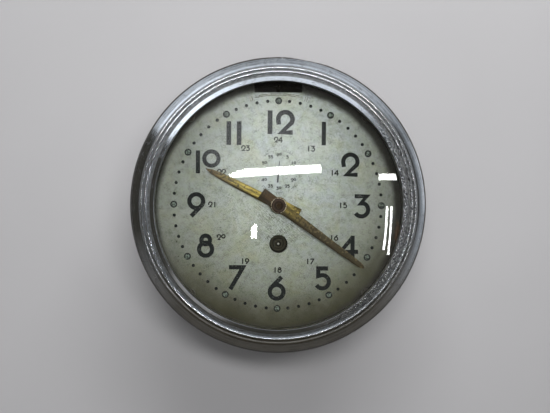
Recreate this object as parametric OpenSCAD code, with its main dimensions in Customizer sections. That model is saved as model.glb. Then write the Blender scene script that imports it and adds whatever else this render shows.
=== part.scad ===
// Ship's bulkhead clock lying on its back, eight-day key-wound movement with a lever escapement.
// Millimetres. The dial faces +Z, twelve o'clock is +Y and three o'clock is +X.
// The origin is the centre of the flat case back, the face that goes against the bulkhead.

/* [Case] */
// Outer diameter of the bezel, the widest part of the clock
bezel_d = 152; // [148:0.5:156]
// How far the wall of the drum lies inside the rim of the bezel
drum_inset = 6.5; // [5.5:0.1:7]
// Wall of the case drum
drum_wall = 2; // [1.6:0.1:2.2]
// Thickness of the case back
back_t = 2.5; // [2:0.1:4]
// Height of the case from its back to the top of its lip
case_h = 44; // [43.5:0.1:45]
// How far the lip of the case stands out from the drum
lip_out = 2.5; // [2:0.1:2.6]
// Thickness of the lip
lip_t = 2; // [1.5:0.1:2.5]
// Thickness of the rubber ring between the lip and the bezel
gasket_t = 1; // [0.6:0.1:1.4]
// Width of the rubber ring
gasket_w = 1.8; // [1.2:0.1:2]
// Distance of the four screw holes in the case back from the inside of the drum
mount_inset = 9.5; // [7:0.1:12]
// Diameter of the screw holes in the case back
mount_hole_d = 5; // [4:0.5:6]

/* [Bezel and glass] */
// Width of the bezel from its rim to its clear opening
bezel_w = 13.3; // [12:0.1:15]
// Height of the bezel from its seat on the rubber ring to its inner edge
bezel_h = 10; // [9:0.1:12]
// How far the skirt of the bezel reaches down past its seat
skirt_h = 2; // [1.5:0.1:2.4]
// Clearance between the lip of the case and the skirt of the bezel
skirt_gap = 0.4; // [0.3:0.05:0.6]
// Thickness of the domed glass
glass_t = 2.4; // [2:0.1:3]
// Rise of the glass from its rim to its crown
glass_rise = 6; // [3:0.5:8]
// Seat of the glass beyond the clear opening
glass_seat = 1.6; // [1.2:0.1:2]
// Height of the ring that holds the glass
glass_ring_h = 2; // [1.5:0.1:2.6]
// Clockwise angle of the hinge from twelve o'clock
hinge_angle = 11; // [0:1:30]
// Length of the hinge
hinge_l = 20; // [16:1:26]
// Outer diameter of the hinge knuckles
knuckle_d = 3.8; // [3.2:0.1:4]
// Diameter of the hinge pin
hinge_pin_d = 1.8; // [1.4:0.1:2]

/* [Dial and hands] */
// Thickness of the dial plate
dial_t = 1.5; // [1:0.1:2]
// Gap between the edge of the dial and the wall of the drum
dial_gap = 0.6; // [0.4:0.1:1]
// How far the dial lies below the top of the lip
dial_below = 1; // [0.6:0.1:1.2]
// Distance of the four dial screws in from the edge of the dial
dial_screw_inset = 2.6; // [2.2:0.1:3]
// Width of the notch for the regulator at the top of the dial
notch_w = 24.6; // [20:0.2:26]
// Depth of the notch, from the edge of the dial to its floor
notch_depth = 8.7; // [8:0.1:10]
// Diameter of the winding hole in the dial
winding_hole_d = 9.5; // [8:0.1:10]
// Length of the hour hand from the centre
hour_l = 42.2; // [36:0.1:46]
// Length of the minute hand from the centre
minute_l = 54.5; // [48:0.1:57]
// Length of the seconds hand from its centre
seconds_l = 5.9; // [4:0.1:9]
// Clock angle that the hour hand rests at
hour_at = 297; // [0:360]
// Clock angle that the minute hand rests at
minute_at = 126.2; // [0:0.1:360]
// Clock angle that the seconds hand rests at
seconds_at = 5; // [0:360]
// Thickness of the hands
hand_t = 0.8; // [0.6:0.1:1]

/* [Movement] */
// Diameter of the two movement plates
plate_d = 108; // [104:1:112]
// Thickness of the movement plates
plate_t = 2; // [1.6:0.1:2.4]
// Clear height between the plates, the length of the pillars
plate_gap = 20; // [20:0.1:21]
// Space between the front plate and the dial
dial_space = 9.5; // [9:0.1:10.5]
// Distance of the pillars in from the edge of the plates
pillar_inset = 7; // [5:0.5:8]
// Diameter of the pillars
pillar_d = 6.4; // [5.6:0.2:7]
// Distance from the centre of the dial to the winding arbor
barrel_dist = 20; // [20:0.1:20.6]
// Distance from the centre of the dial to the seconds arbor
seconds_dist = 17; // [16.6:0.1:17.4]
// Outer diameter of the mainspring barrel
barrel_d = 32.4; // [30:0.2:32.8]
// Height of the barrel over its cap
barrel_h = 11.5; // [11:0.1:11.6]
// Side of the winding square
square_w = 4; // [3.6:0.1:4.2]
// Radial clearance of every pivot and running fit
run = 0.05; // [0.03:0.01:0.07]
// Backlash of each meshing gear
thin = 0.06; // [0.05:0.01:0.08]
// Outer radius of the balance rim
balance_r = 9; // [8:0.1:9]
// Tip radius of the escape wheel
escape_r = 6.5; // [6.2:0.1:6.6]
// Distance from the pallet arbor to the balance staff
fork_dist = 10.5; // [10.3:0.1:11]

/* [Hidden] */
$fn = 96;
eps = 0.02;

// Case levels and radii
bezel_r = bezel_d / 2;
drum_r = bezel_r - drum_inset;
drum_in = drum_r - drum_wall;
lip_r = drum_r + lip_out;
mount_r = drum_in - mount_inset;
skirt_in = lip_r + skirt_gap;
seat_z = case_h + gasket_t;
skirt_z = seat_z - skirt_h;
bezel_top = seat_z + bezel_h;
open_r = bezel_r - bezel_w;
dial_top = case_h - dial_below;
dial_z = dial_top - dial_t;
dial_r = drum_in - dial_gap;
dial_screw_r = dial_r - dial_screw_inset;
notch_r = dial_r - notch_depth;
seat_ring_t = 3;
seat_ring_w = 6.5;
gasket_r = drum_r + 0.3;

// Hinge, in a frame turned so that it lies on +Y
knuckle_r = knuckle_d / 2;
hinge_flat_y = sqrt(bezel_r * bezel_r - hinge_l * hinge_l / 4);
hinge_y = hinge_flat_y - knuckle_r;
hinge_z = case_h - lip_t - knuckle_r - 0.2;
leaf_t = 1.2;
leaf_half = hinge_l / 2 - 1;
centre_knuckle = hinge_l * 0.2;
hinge_side_gap = 0.2;
strap_t = 1.6;
strap_y = hinge_y - 0.4;
leaf_reach = 6;

// Movement levels, measured down from the dial that the movement hangs on
front_top = dial_z - dial_space;
front_z = front_top - plate_t;
gap_z = front_z - plate_gap;
back_z = gap_z - plate_t;
pillar_r = plate_d / 2 - pillar_inset;

// Gears: module, tooth counts and heights
pa = 25;
m_barrel = 0.43;
m_inter = 0.38;
m_centre = 0.35;
m_third = 0.36;
m_fourth = 0.27;
m_cannon = 0.4;
z_barrel = 80;
z_inter = 72;
z_centre = 80;
z_third = 75;
z_fourth = 80;
z_ten = 10;
z_centre_pinion = 12;
z_escape_pinion = 8;
z_cannon = 12;
z_minute = 36;
z_hour = 40;
wheel_add = 0.85;
pinion_add = 1;

// Arbor places
function apart(m, za, zb) = m * (za + zb) / 2;
function third_point(a, ra, b, rb, side) =
    let(d = norm(b - a), u = (b - a) / d, s = (ra * ra - rb * rb + d * d) / (2 * d),
        h = sqrt(ra * ra - s * s))
    a + s * u + side * h * [-u[1], u[0]];
function heading(a, b) = atan2(b[1] - a[1], b[0] - a[0]);
centre_at = [0, 0];
barrel_at = [0, -barrel_dist];
fourth_at = [0, seconds_dist];
inter_at = third_point(barrel_at, apart(m_barrel, z_barrel, z_ten), centre_at,
                       apart(m_inter, z_inter, z_centre_pinion), -1);
third_at = third_point(centre_at, apart(m_centre, z_centre, z_ten), fourth_at,
                       apart(m_third, z_third, z_ten), 1);
escape_dir = 42.5;
escape_dist = apart(m_fourth, z_fourth, z_escape_pinion);
escape_at = fourth_at + escape_dist * [cos(escape_dir), sin(escape_dir)];
lever_dist = escape_r / cos(30);
balance_dist = lever_dist + fork_dist;
balance_at = [0, escape_at[1] + sqrt(balance_dist * balance_dist - escape_at[0] * escape_at[0])];
lever_dir = heading(escape_at, balance_at);
lever_at = escape_at + lever_dist * [cos(lever_dir), sin(lever_dir)];
minute_dist = apart(m_cannon, z_cannon, z_minute);
minute_at_xy = [minute_dist, 0];
m_hour = 2 * minute_dist / (z_ten + z_hour);

// Heights of the train, measured up from the inner face of the back plate
great_up = 1.5;
great_t = 2;
inter_up = 0.5;
centre_up = 2.7;
third_up = 7;
fourth_up = 11;
escape_up = 4;
balance_up = 13.5;
spring_down = 1.6;
great_z = gap_z + great_up;
barrel_top = great_z + barrel_h;
inter_z = barrel_top + inter_up;
centre_z = inter_z + centre_up;
wheel_t = 1;
centre_t = 1.2;
third_z = gap_z + third_up;
fourth_z = gap_z + fourth_up;
escape_z = gap_z + escape_up;
balance_z = gap_z + balance_up;
balance_t = 1.5;
spring_z = front_z - spring_down;
spring_t = 1;

// Heights of the motion work, measured up from the front plate
friction_up = 0.2;
friction_t = 0.5;
friction_r = 2.4;
friction_reach = 4.2;
minute_wheel_up = 1.4;
motion_gap = 1;
seconds_up = 0.5;
hour_up = 1.6;
hand_gap = 1;
arbor_proud = 0.7;
friction_z = front_top + friction_up;
cannon_z = friction_z + friction_t;
minute_wheel_z = front_top + minute_wheel_up;
hour_wheel_z = minute_wheel_z + wheel_t + motion_gap;
hour_wheel_t = 1.2;
seconds_z = dial_top + seconds_up;
hour_z = dial_top + hour_up;
minute_z = hour_z + hand_t + hand_gap;
nut_z = minute_z + hand_t;
nut_t = 1.5;
arbor_end_z = nut_z + nut_t + arbor_proud;

// Radii of arbors and pipes
centre_arbor_r = 1.25;
cannon_pipe_r = 2;
hour_pipe_r = 3.1;
hour_hub_r = 4.4;
winding_pivot_r = 3;
core_r = 3.6;
back_pivot_r = 2.2;
square_below = 2.5;
screw_r = 1.4;
head_r = 2.8;
head_t = 1.2;
back_head_t = 1;
washer_r = 4.6;
washer_t = 0.8;
foot_r = 2.5;
foot_inset = 6;
foot_ring_r = plate_d / 2 - foot_inset;
foot_screw_r = 1.2;
foot_angles = [22, 158, 202, 338];
dial_screw_shank = 1.25;
dial_screw_head = 2.4;
seat_notch = notch_w + 1;

// Winding click and ratchet
ratchet_teeth = 24;
ratchet_r = 8.2;
ratchet_root = 7;
ratchet_t = 2;
ratchet_z = front_top + 0.4;
click_dist = 12.5;
click_dir = 215;
click_at = barrel_at + click_dist * [cos(click_dir), sin(click_dir)];
click_tip_dir = 160;
click_clear = 0.15;
click_z = ratchet_z + 0.2;
click_t = 1.6;
click_post_r = 1;

// Gear outlines
function inv(a) = tan(a) * 180 / PI - a;
function pitch_r(m, z) = m * z / 2;
function half_angle(m, z, r) =
    let(rp = pitch_r(m, z), rb = rp * cos(pa), ar = acos(min(1, rb / r)))
    (PI * m / 2 - thin) / 2 / rp * 180 / PI + inv(pa) - inv(ar);
function polar(r, a) = [r * cos(a), r * sin(a)];
function flank_start(m, z, rf) = max(rf, pitch_r(m, z) * cos(pa) + 0.001);
function tooth(m, z, ra, rf, c) =
    let(rs = flank_start(m, z, rf), rm = (rs + ra) / 2)
    [polar(rf, c - half_angle(m, z, rs)), polar(rs, c - half_angle(m, z, rs)),
     polar(rm, c - half_angle(m, z, rm)), polar(ra, c - half_angle(m, z, ra)),
     polar(ra, c + half_angle(m, z, ra)), polar(rm, c + half_angle(m, z, rm)),
     polar(rs, c + half_angle(m, z, rs)), polar(rf, c + half_angle(m, z, rs))];
function gear_points(m, z, add, ded) =
    let(rp = pitch_r(m, z))
    [for (i = [0:z - 1]) each tooth(m, z, rp + add * m, rp - ded * m, i * 360 / z)];
// Rest angle of gear b so that its space meets the tooth of gear a, seen from a along dir
function meshed(phi_a, za, dir, zb) = dir + 180 + ((dir - phi_a) * za / 360 + 0.5) * 360 / zb;

module gear(m, z, add, t, phi = 0) {
    rotate([0, 0, phi])
        linear_extrude(height = t)
            polygon(gear_points(m, z, add, pinion_add + 0.25));
}

module pinion(m, z, t, phi) {
    rotate([0, 0, phi])
        linear_extrude(height = t)
            polygon(gear_points(m, z, pinion_add, wheel_add + 0.25));
}

// Windows between the spokes of a wheel, ri to ro, as cutters
module crossings(ri, ro, spoke, n, t) {
    steps = 6;
    for (k = [0:n - 1]) {
        a0 = k * 360 / n;
        hi = asin(spoke / 2 / ri);
        ho = asin(spoke / 2 / ro);
        w = 360 / n;
        translate([0, 0, -eps])
            linear_extrude(height = t + 2 * eps)
                polygon(concat(
                    [for (i = [0:steps]) polar(ri, a0 + hi + (w - 2 * hi) * i / steps)],
                    [for (i = [steps:-1:0]) polar(ro, a0 + ho + (w - 2 * ho) * i / steps)]));
    }
}

hub_band = 1.6;
rim_band = 1.3;
spoke_w = 1.4;

module train_wheel(m, z, t, hub, spokes = 5, phi = 0) {
    difference() {
        gear(m, z, wheel_add, t, phi);
        crossings(hub + hub_band, pitch_r(m, z) - (pinion_add + 0.25) * m - rim_band, spoke_w, spokes, t);
        bore(hub, t);
    }
}

module at(p, z = 0) {
    translate([p[0], p[1], z]) children();
}

module rod(r, z0, z1) {
    translate([0, 0, z0]) cylinder(r = r, h = z1 - z0);
}

module bore(r, t) {
    translate([0, 0, -1]) cylinder(r = r, h = t + 2);
}

module ring(ro, ri, z0, z1) {
    difference() {
        rod(ro, z0, z1);
        rod(ri, z0 - 1, z1 + 1);
    }
}

module around(n, r, first = 45) {
    for (i = [0:n - 1])
        rotate([0, 0, first + i * 360 / n]) translate([r, 0, 0]) children();
}

module hinge_frame() {
    rotate([0, 0, -hinge_angle]) children();
}

module slotted_head(r, z0, z1, slot = 0.8) {
    difference() {
        rod(r, z0, z1);
        translate([-r - 1, -slot / 2, z1 - (z1 - z0) / 2]) cube([2 * r + 2, slot, z1]);
    }
}

module slotted_screw(r, rh, z0, z1, ht) {
    rod(r, z0, z1);
    slotted_head(rh, z1, z1 + ht);
}

// Case
module case_body() {
    color("dimgray") difference() {
        union() {
            rod(drum_r, 0, case_h);
            rod(lip_r, case_h - lip_t, case_h);
        }
        rod(drum_in, back_t, case_h + 1);
        around(4, mount_r) bore(mount_hole_d / 2, back_t);
        hinge_frame() {
            translate([-hinge_l / 2 - 1, gasket_r + gasket_w, case_h - lip_t - 1])
                cube([hinge_l + 2, 10, lip_t + 2]);
            hinge_rivet_places() rod(rivet_r, 0, 2 * drum_wall + 2);
            translate([-catch_w / 2 - 1, -lip_r - 5, case_h - lip_t - 1])
                cube([catch_w + 2, 5 + lip_out - 0.7, lip_t + 2]);
            catch_rivet_places() rod(rivet_r, 0, 2 * drum_wall + 2);
        }
    }
}

module case_gasket() {
    color("black") ring(gasket_r + gasket_w, gasket_r, case_h, seat_z);
}

module dial_seat_ring() {
    color("gray") difference() {
        ring(drum_in, drum_in - seat_ring_w, dial_z - seat_ring_t, dial_z);
        translate([-seat_notch / 2, notch_r - 3, dial_z - seat_ring_t - 1])
            cube([seat_notch, 2 * notch_depth, seat_ring_t + 2]);
        around(4, dial_screw_r) rod(dial_screw_shank, dial_z - seat_ring_t - 1, dial_z + 1);
    }
}

// Hinge hidden under the rim of the bezel
rivet_r = 1;
rivet_head = 1.6;
case_leaf_h = 8;
case_leaf_out = 1.3;

module hinge_rivet_places() {
    for (x = [-1, 1])
        translate([x * hinge_l * 0.3, drum_r + case_leaf_out, hinge_z - case_leaf_h / 2 - 1.2])
            rotate([90, 0, 0]) children();
}

module hinge_bar(x0, x1, r) {
    translate([x0, hinge_y, hinge_z]) rotate([0, 90, 0]) cylinder(r = r, h = x1 - x0);
}

module hinge_case_leaf() {
    color("dimgray") hinge_frame() difference() {
        union() {
            translate([-hinge_l / 2, drum_r - 2, hinge_z - case_leaf_h])
                cube([hinge_l, 2 + case_leaf_out, case_leaf_h]);
            for (s = [-1, 1])
                hinge_bar(s > 0 ? centre_knuckle + hinge_side_gap : -hinge_l / 2,
                          s > 0 ? hinge_l / 2 : -centre_knuckle - hinge_side_gap, knuckle_r);
            for (s = [-1, 1])
                translate([s > 0 ? centre_knuckle + hinge_side_gap : -hinge_l / 2, drum_r - 0.5,
                           hinge_z - knuckle_r])
                    cube([hinge_l / 2 - centre_knuckle - hinge_side_gap, hinge_y - drum_r + 0.5,
                          knuckle_r]);
        }
        cylinder(r = drum_r, h = case_h, $fn = 720);
        hinge_bar(-centre_knuckle - hinge_side_gap, centre_knuckle + hinge_side_gap, knuckle_r + 0.2);
        hinge_bar(-hinge_l / 2 - 1, hinge_l / 2 + 1, hinge_pin_d / 2);
        hinge_rivet_places() rod(rivet_r, -1, 5);
        hinge_rivet_places() rod(rivet_head, -5, 0);
    }
}

module hinge_leaf_rivets() {
    color("silver") hinge_frame() hinge_rivet_places() {
        rod(rivet_r, 0, case_leaf_out + drum_wall - 0.2);
        rod(rivet_head, -0.5, 0);
    }
}

module hinge_pin() {
    color("silver") hinge_frame() hinge_bar(-hinge_l / 2, hinge_l / 2, hinge_pin_d / 2);
}

module hinge_bezel_leaf() {
    color("dimgray") hinge_frame() difference() {
        union() {
            hinge_bar(-centre_knuckle, centre_knuckle, knuckle_r);
            translate([-centre_knuckle, strap_y, hinge_z])
                cube([2 * centre_knuckle, strap_t, seat_z + leaf_t - hinge_z]);
            translate([-leaf_half, skirt_in - leaf_reach, seat_z])
                cube([2 * leaf_half, strap_y + strap_t - skirt_in + leaf_reach, leaf_t]);
        }
        hinge_bar(-hinge_l, hinge_l, hinge_pin_d / 2 + run);
    }
}

// Spring under the lip that holds the bezel shut by friction, opposite the hinge
catch_w = 8;
catch_t = 0.6;
catch_l = 9;

module catch_rivet_places() {
    for (x = [-1, 1])
        translate([x * catch_w / 4, -drum_r - catch_t, case_h - lip_t - catch_l + 2])
            rotate([-90, 0, 0]) children();
}

module catch_spring() {
    y0 = drum_r;
    z0 = case_h - lip_t - catch_l;
    z1 = case_h - lip_t - 1;
    crown = skirt_in - 0.25;
    color("silver") hinge_frame() difference() {
        rotate([90, 0, 90])
            translate([0, 0, -catch_w / 2])
                linear_extrude(height = catch_w)
                    polygon([[-y0, z0], [-y0, z1], [-crown + catch_t, skirt_z],
                             [-crown + 1.3, case_h - 0.5], [-crown + 0.9, case_h - 0.1],
                             [-crown, skirt_z + 0.1], [-y0 - catch_t, z1], [-y0 - catch_t, z0]]);
        catch_rivet_places() rod(rivet_r, -1, 5);
    }
}

module catch_rivets() {
    color("silver") hinge_frame() catch_rivet_places() {
        rod(rivet_r, 0, catch_t + drum_wall - 0.2);
        rod(rivet_head - 0.1, -0.5, 0);
    }
}

// Bezel, glass and the ring that holds the glass
rim_z = seat_z + 2;
glass_rim_top = bezel_top - 2.05;
glass_r = open_r + glass_seat;
glass_sphere = (glass_r * glass_r + glass_rise * glass_rise) / (2 * glass_rise);
glass_ring_r = glass_r + 1;
bead_1 = open_r + 4.7;
bead_2 = open_r + 6.9;
band_in = open_r + 8.2;
band_out = bezel_r - 0.85;
band_bow = 14.1;

function arc(cx, cz, r, a0, a1, n) =
    [for (i = [0:n]) [cx + r * cos(a0 + (a1 - a0) * i / n), cz + r * sin(a0 + (a1 - a0) * i / n)]];

// Points on an arc of radius r that bows up from a to b
function bow(a, b, r, n) =
    let(d = norm(b - a), u = (b - a) / d, c = (a + b) / 2 + sqrt(r * r - d * d / 4) * [-u[1], u[0]])
    arc(c[0], c[1], r, heading(c, a), heading(c, b), n);

module bezel() {
    color("silver") difference() {
        rotate_extrude() polygon(concat(
            [[glass_ring_r, seat_z], [skirt_in, seat_z], [skirt_in, skirt_z], [bezel_r - 0.3, skirt_z],
             [bezel_r, skirt_z + 0.3], [bezel_r, rim_z], [bezel_r - 0.25, rim_z + 0.8],
             [band_out, rim_z + 1.55]],
            bow([band_out - 0.05, rim_z + 1.54], [band_in + 0.185, bezel_top - 4.22], band_bow, 4),
            [[band_in - 0.15, bezel_top - 3.1]],
            arc(bead_2, bezel_top - 2.7, 0.5, -10, 190, 5),
            [[open_r + 5.8, bezel_top - 2.5]],
            arc(bead_1, bezel_top - 1.3, 0.55, -30, 205, 5),
            [[open_r + 3.6, bezel_top - 1.35], [open_r + 2.9, bezel_top - 1],
             [open_r + 2.3, bezel_top - 0.45], [open_r + 0.5, bezel_top],
             [open_r, bezel_top - 0.35], [open_r, glass_rim_top + glass_seat * glass_r / glass_sphere + 0.05],
             [glass_r + 0.1, glass_rim_top + 0.04], [glass_r + 0.1, glass_rim_top - glass_t],
             [glass_ring_r, glass_rim_top - glass_t]]));
        hinge_frame() {
            translate([-hinge_l, hinge_flat_y, skirt_z - 1]) cube([2 * hinge_l, 5, bezel_h]);
            translate([-hinge_l / 2 - 1, hinge_y - 4, skirt_z - 1])
                cube([hinge_l + 2, 10, skirt_h + 1]);
            translate([-leaf_half, skirt_in - leaf_reach, seat_z - 1])
                cube([2 * leaf_half, strap_y + strap_t - skirt_in + leaf_reach, leaf_t + 1]);
        }
    }
}

module glass() {
    color([0.85, 0.92, 0.9, 0.35]) difference() {
        intersection() {
            translate([0, 0, glass_rim_top + glass_rise - glass_sphere]) sphere(r = glass_sphere, $fn = 200);
            rod(glass_r, glass_rim_top - glass_t, glass_rim_top + glass_rise + 1);
        }
        translate([0, 0, glass_rim_top - glass_t + glass_rise - glass_sphere])
            sphere(r = glass_sphere, $fn = 200);
    }
}

module glass_ring() {
    color("silver") ring(glass_ring_r, open_r + 0.2, glass_rim_top - glass_t - glass_ring_h,
                         glass_rim_top - glass_t);
}

// Dial
module dial() {
    color("lightgray") difference() {
        rod(dial_r, dial_z, dial_top);
        translate([0, 0, dial_z]) {
            bore(hour_pipe_r + 0.5, dial_t);
            at(barrel_at) bore(winding_hole_d / 2, dial_t);
            at(fourth_at) bore(1.3, dial_t);
            translate([-notch_w / 2, notch_r, -1]) cube([notch_w, 2 * notch_depth, dial_t + 2]);
            around(4, dial_screw_r) bore(dial_screw_shank + 0.05, dial_t);
        }
    }
}

module dial_screws() {
    color("dimgray") around(4, dial_screw_r)
        slotted_screw(dial_screw_shank, dial_screw_head, dial_z - seat_ring_t + 0.4, dial_top, head_t);
}

module foot_places() {
    for (a = foot_angles)
        rotate([0, 0, a]) translate([foot_ring_r, 0, 0]) children();
}

module dial_feet() {
    color("goldenrod") foot_places() difference() {
        rod(foot_r, front_top, dial_z);
        rod(foot_screw_r, front_top - 1, front_top + 5);
    }
}

module dial_foot_screws() {
    color("steelblue") foot_places() {
        rod(foot_screw_r, front_z, front_top + 4.6);
        slotted_foot_head();
    }
}

module slotted_foot_head() {
    difference() {
        rod(2.3, front_z - head_t, front_z);
        translate([-4, -0.4, front_z - head_t - 1]) cube([8, 0.8, 1.6]);
    }
}

// Plates, pillars and cock
pivot_r = 0.5;
big_pivot_r = 0.8;
lever_pivot_r = 0.35;
jewel_r = 1.2;
jewel_t = 1;
staff_pivot_r = 0.3;
window_r = 8.2;
cock_t = 3;
cock_w = 8;
cock_screw_x = 13.5;
cock_screw_r = 1;
cock_boss_r = 1.9;
cock_boss_t = 1.2;

module plate_pivots(t) {
    at(inter_at) bore(big_pivot_r + run, t);
    at(third_at) bore(pivot_r + run, t);
    at(escape_at) bore(pivot_r + run, t);
    at(lever_at) bore(lever_pivot_r + run, t);
    around(4, pillar_r) bore(screw_r + 0.05, t);
}

module back_plate() {
    color("goldenrod") translate([0, 0, back_z]) difference() {
        cylinder(d = plate_d, h = plate_t);
        plate_pivots(plate_t);
        at(centre_at) bore(1 + run, plate_t);
        at(fourth_at) bore(pivot_r + run, plate_t);
        at(barrel_at) bore(back_pivot_r + run, plate_t);
        at(balance_at) bore(jewel_r, plate_t);
        banking_places() bore(banking_r, plate_t);
    }
}

module front_plate() {
    color("goldenrod") translate([0, 0, front_z]) difference() {
        cylinder(d = plate_d, h = plate_t);
        plate_pivots(plate_t);
        at(centre_at) bore(centre_arbor_r + run, plate_t);
        at(fourth_at) bore(seconds_arbor_r + run, plate_t);
        at(barrel_at) bore(winding_pivot_r + run, plate_t);
        at(balance_at) bore(window_r, plate_t);
        at(balance_at) cock_screw_places() bore(cock_screw_r, plate_t);
        at(minute_at_xy) bore(post_r, plate_t);
        at(click_at) bore(click_post_r, plate_t);
        click_spring_screw_place() bore(cock_screw_r, plate_t);
        foot_places() bore(foot_screw_r + 0.05, plate_t);
    }
}

module pillars() {
    color("goldenrod") around(4, pillar_r) difference() {
        rod(pillar_d / 2, gap_z, front_z);
        rod(screw_r, gap_z - 1, gap_z + 6);
        rod(screw_r, front_z - 6, front_z + 1);
    }
}

module pillar_screws() {
    color("steelblue") around(4, pillar_r) {
        slotted_screw(screw_r, head_r, front_z - 5.5, front_top, head_t);
        translate([0, 0, back_z + front_top]) mirror([0, 0, 1])
            slotted_screw(screw_r, head_r, front_z - 3.5, front_top, back_head_t);
    }
}

module cock_screw_places() {
    for (s = [-1, 1]) translate([s * cock_screw_x, 0, 0]) children();
}

module balance_cock() {
    color("goldenrod") at(balance_at) difference() {
        union() {
            translate([-cock_screw_x, -cock_w / 2, front_top]) cube([2 * cock_screw_x, cock_w, cock_t]);
            cock_screw_places() rod(cock_w / 2, front_top, front_top + cock_t);
            rod(cock_boss_r, front_top, front_top + cock_t + cock_boss_t);
        }
        cock_screw_places() rod(cock_screw_r + 0.05, front_top - 1, front_top + cock_t + 1);
        rod(jewel_r, front_top - 1, front_top + jewel_t);
        rod(staff_pivot_r + 0.3, front_top, front_top + cock_t + cock_boss_t + 1);
    }
}

module balance_cock_screws() {
    color("steelblue") at(balance_at) cock_screw_places()
        slotted_screw(cock_screw_r, 2, front_z + 0.3, front_top + cock_t, head_t);
}

module balance_jewels() {
    color("crimson") at(balance_at) {
        ring(jewel_r, staff_pivot_r + run, front_top, front_top + jewel_t);
        ring(jewel_r, staff_pivot_r + run, back_z + plate_t - jewel_t, back_z + plate_t);
    }
}

// Lever escapement
lever_t = 1;
lever_z = escape_z;
lever_half = 0.6;
lever_swing = 6;
banking_r = 0.3;
banking_reach = 4.2;
banking_off = lever_half + banking_reach * sin(lever_swing) + banking_r + 0.1;
pin_orbit = 2.2;
impulse_r = 0.3;
fork_gap = 0.3;
pallet_w = 0.7;
pallet_gap = 0.1;
roller_r = 2.7;

module lever_frame() {
    at(lever_at) rotate([0, 0, lever_dir]) children();
}

module banking_places() {
    lever_frame() for (s = [-1, 1]) translate([banking_reach, s * banking_off, 0]) children();
}

module banking_pins() {
    color("silver") banking_places() rod(banking_r, back_z, lever_z + lever_t + 0.5);
}

module escape_wheel() {
    root = escape_r - 1.8;
    pitch = 360 / 15;
    first = lever_dir - 30 + pitch / 4;
    color("gold") at(escape_at, escape_z) difference() {
        linear_extrude(height = lever_t)
            polygon([for (i = [0:14]) each [polar(root, first + i * pitch - 5),
                                            polar(escape_r, first + i * pitch - 1),
                                            polar(escape_r, first + i * pitch + 1),
                                            polar(root, first + i * pitch + 4)]]);
        crossings(2, root - 0.7, 0.8, 4, lever_t);
        bore(1.1, lever_t);
    }
}

module escape_arbor() {
    phi = meshed(0, z_fourth, escape_dir, z_escape_pinion);
    color("silver") at(escape_at) {
        rod(pivot_r, back_z, front_top);
        rod(0.7, gap_z + 0.3, front_z - 0.3);
        rod(1.1, escape_z - 0.6, escape_z + lever_t);
        translate([0, 0, fourth_z - 1.2]) pinion(m_fourth, z_escape_pinion, wheel_t + 2.4, phi);
    }
}

module pallet_lever() {
    reach = fork_dist - pin_orbit - impulse_r - fork_gap;
    pallet_mid = escape_r + pallet_gap + 0.9;
    color("silver") {
        lever_frame() translate([0, 0, lever_z]) difference() {
            union() {
                translate([-0.4, -lever_half, 0]) cube([reach - 1.2, 2 * lever_half, lever_t]);
                translate([reach - 2, -1.3, 0]) cube([2, 2.6, lever_t]);
                cylinder(r = 0.85, h = lever_t);
                for (s = [-1, 1]) {
                    end = polar(pallet_mid, s * 30) - [lever_dist, 0];
                    rotate([0, 0, atan2(end[1], end[0])])
                        translate([0, -0.45, 0]) cube([norm(end), 0.9, lever_t]);
                }
            }
            translate([reach - 1.2, -0.4, -1]) cube([2, 0.8, lever_t + 2]);
        }
        at(lever_at) {
            rod(lever_pivot_r, back_z, front_top);
            rod(0.55, gap_z + 0.3, front_z - 0.3);
        }
        for (s = [-1, 1])
            at(escape_at) rotate([0, 0, lever_dir + s * 30])
                translate([escape_r + pallet_gap, -pallet_w / 2, lever_z - 0.2])
                    cube([1.6, pallet_w, lever_t + 0.4]);
    }
}

// Balance
rim_w = 1.2;
rim_screws = 12;
rim_screw_r = 0.3;
rim_screw_l = 0.8;

// Seats of the timing screws on the outside of the rim, +Z pointing outwards
module rim_screw_places() {
    for (i = [0:rim_screws - 1])
        rotate([0, 0, (i + 0.5) * 360 / rim_screws]) translate([balance_r, 0, balance_t / 2])
            rotate([0, 90, 0]) children();
}

module balance_wheel() {
    color("gold") at(balance_at, balance_z) {
        difference() {
            ring(balance_r, balance_r - rim_w, 0, balance_t);
            rim_screw_places() rod(rim_screw_r, -rim_screw_l, 1);
        }
        difference() {
            union() {
                intersection() {
                    translate([-balance_r, -0.8, 0]) cube([2 * balance_r, 1.6, balance_t - 0.4]);
                    cylinder(r = balance_r - rim_w, h = balance_t);
                }
                cylinder(r = 2, h = balance_t);
            }
            bore(1.2, balance_t);
        }
    }
}

module balance_screws() {
    color("goldenrod") at(balance_at, balance_z) rim_screw_places() {
        rod(rim_screw_r, -rim_screw_l, 0.02);
        rod(0.55, 0.02, 0.6);
    }
}

module balance_staff() {
    color("silver") at(balance_at) {
        rod(staff_pivot_r, back_z + plate_t - jewel_t, front_top + jewel_t);
        rod(0.9, gap_z + 0.3, front_z - 0.2);
        rod(1.2, balance_z - 0.6, balance_z + balance_t);
        rod(1.3, spring_z - 0.1, spring_z + spring_t + 0.1);
        rod(roller_r, lever_z - 1.4, lever_z - 0.4);
        rotate([0, 0, lever_dir + 180]) translate([pin_orbit, 0, 0])
            rod(impulse_r, lever_z - 1.4, lever_z + lever_t + 0.3);
    }
}

// Hairspring: a flat spiral whose last turn runs at a steady radius between the index pins
coil_in = 1.55;
coil_out = 6.2;
coil_t = 0.22;
coil_turns = 8;
stud_dir = 150;
stud_r = 0.6;
steady = 110;

function coil_radius(a) =
    let(full = coil_turns * 360, free = full - steady - 90, inner = coil_out - 0.9)
    a > full - steady ? coil_out
    : a > free ? inner + (coil_out - inner) * (a - free) / 90
    : coil_in + (inner - coil_in) * a / free;

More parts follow.
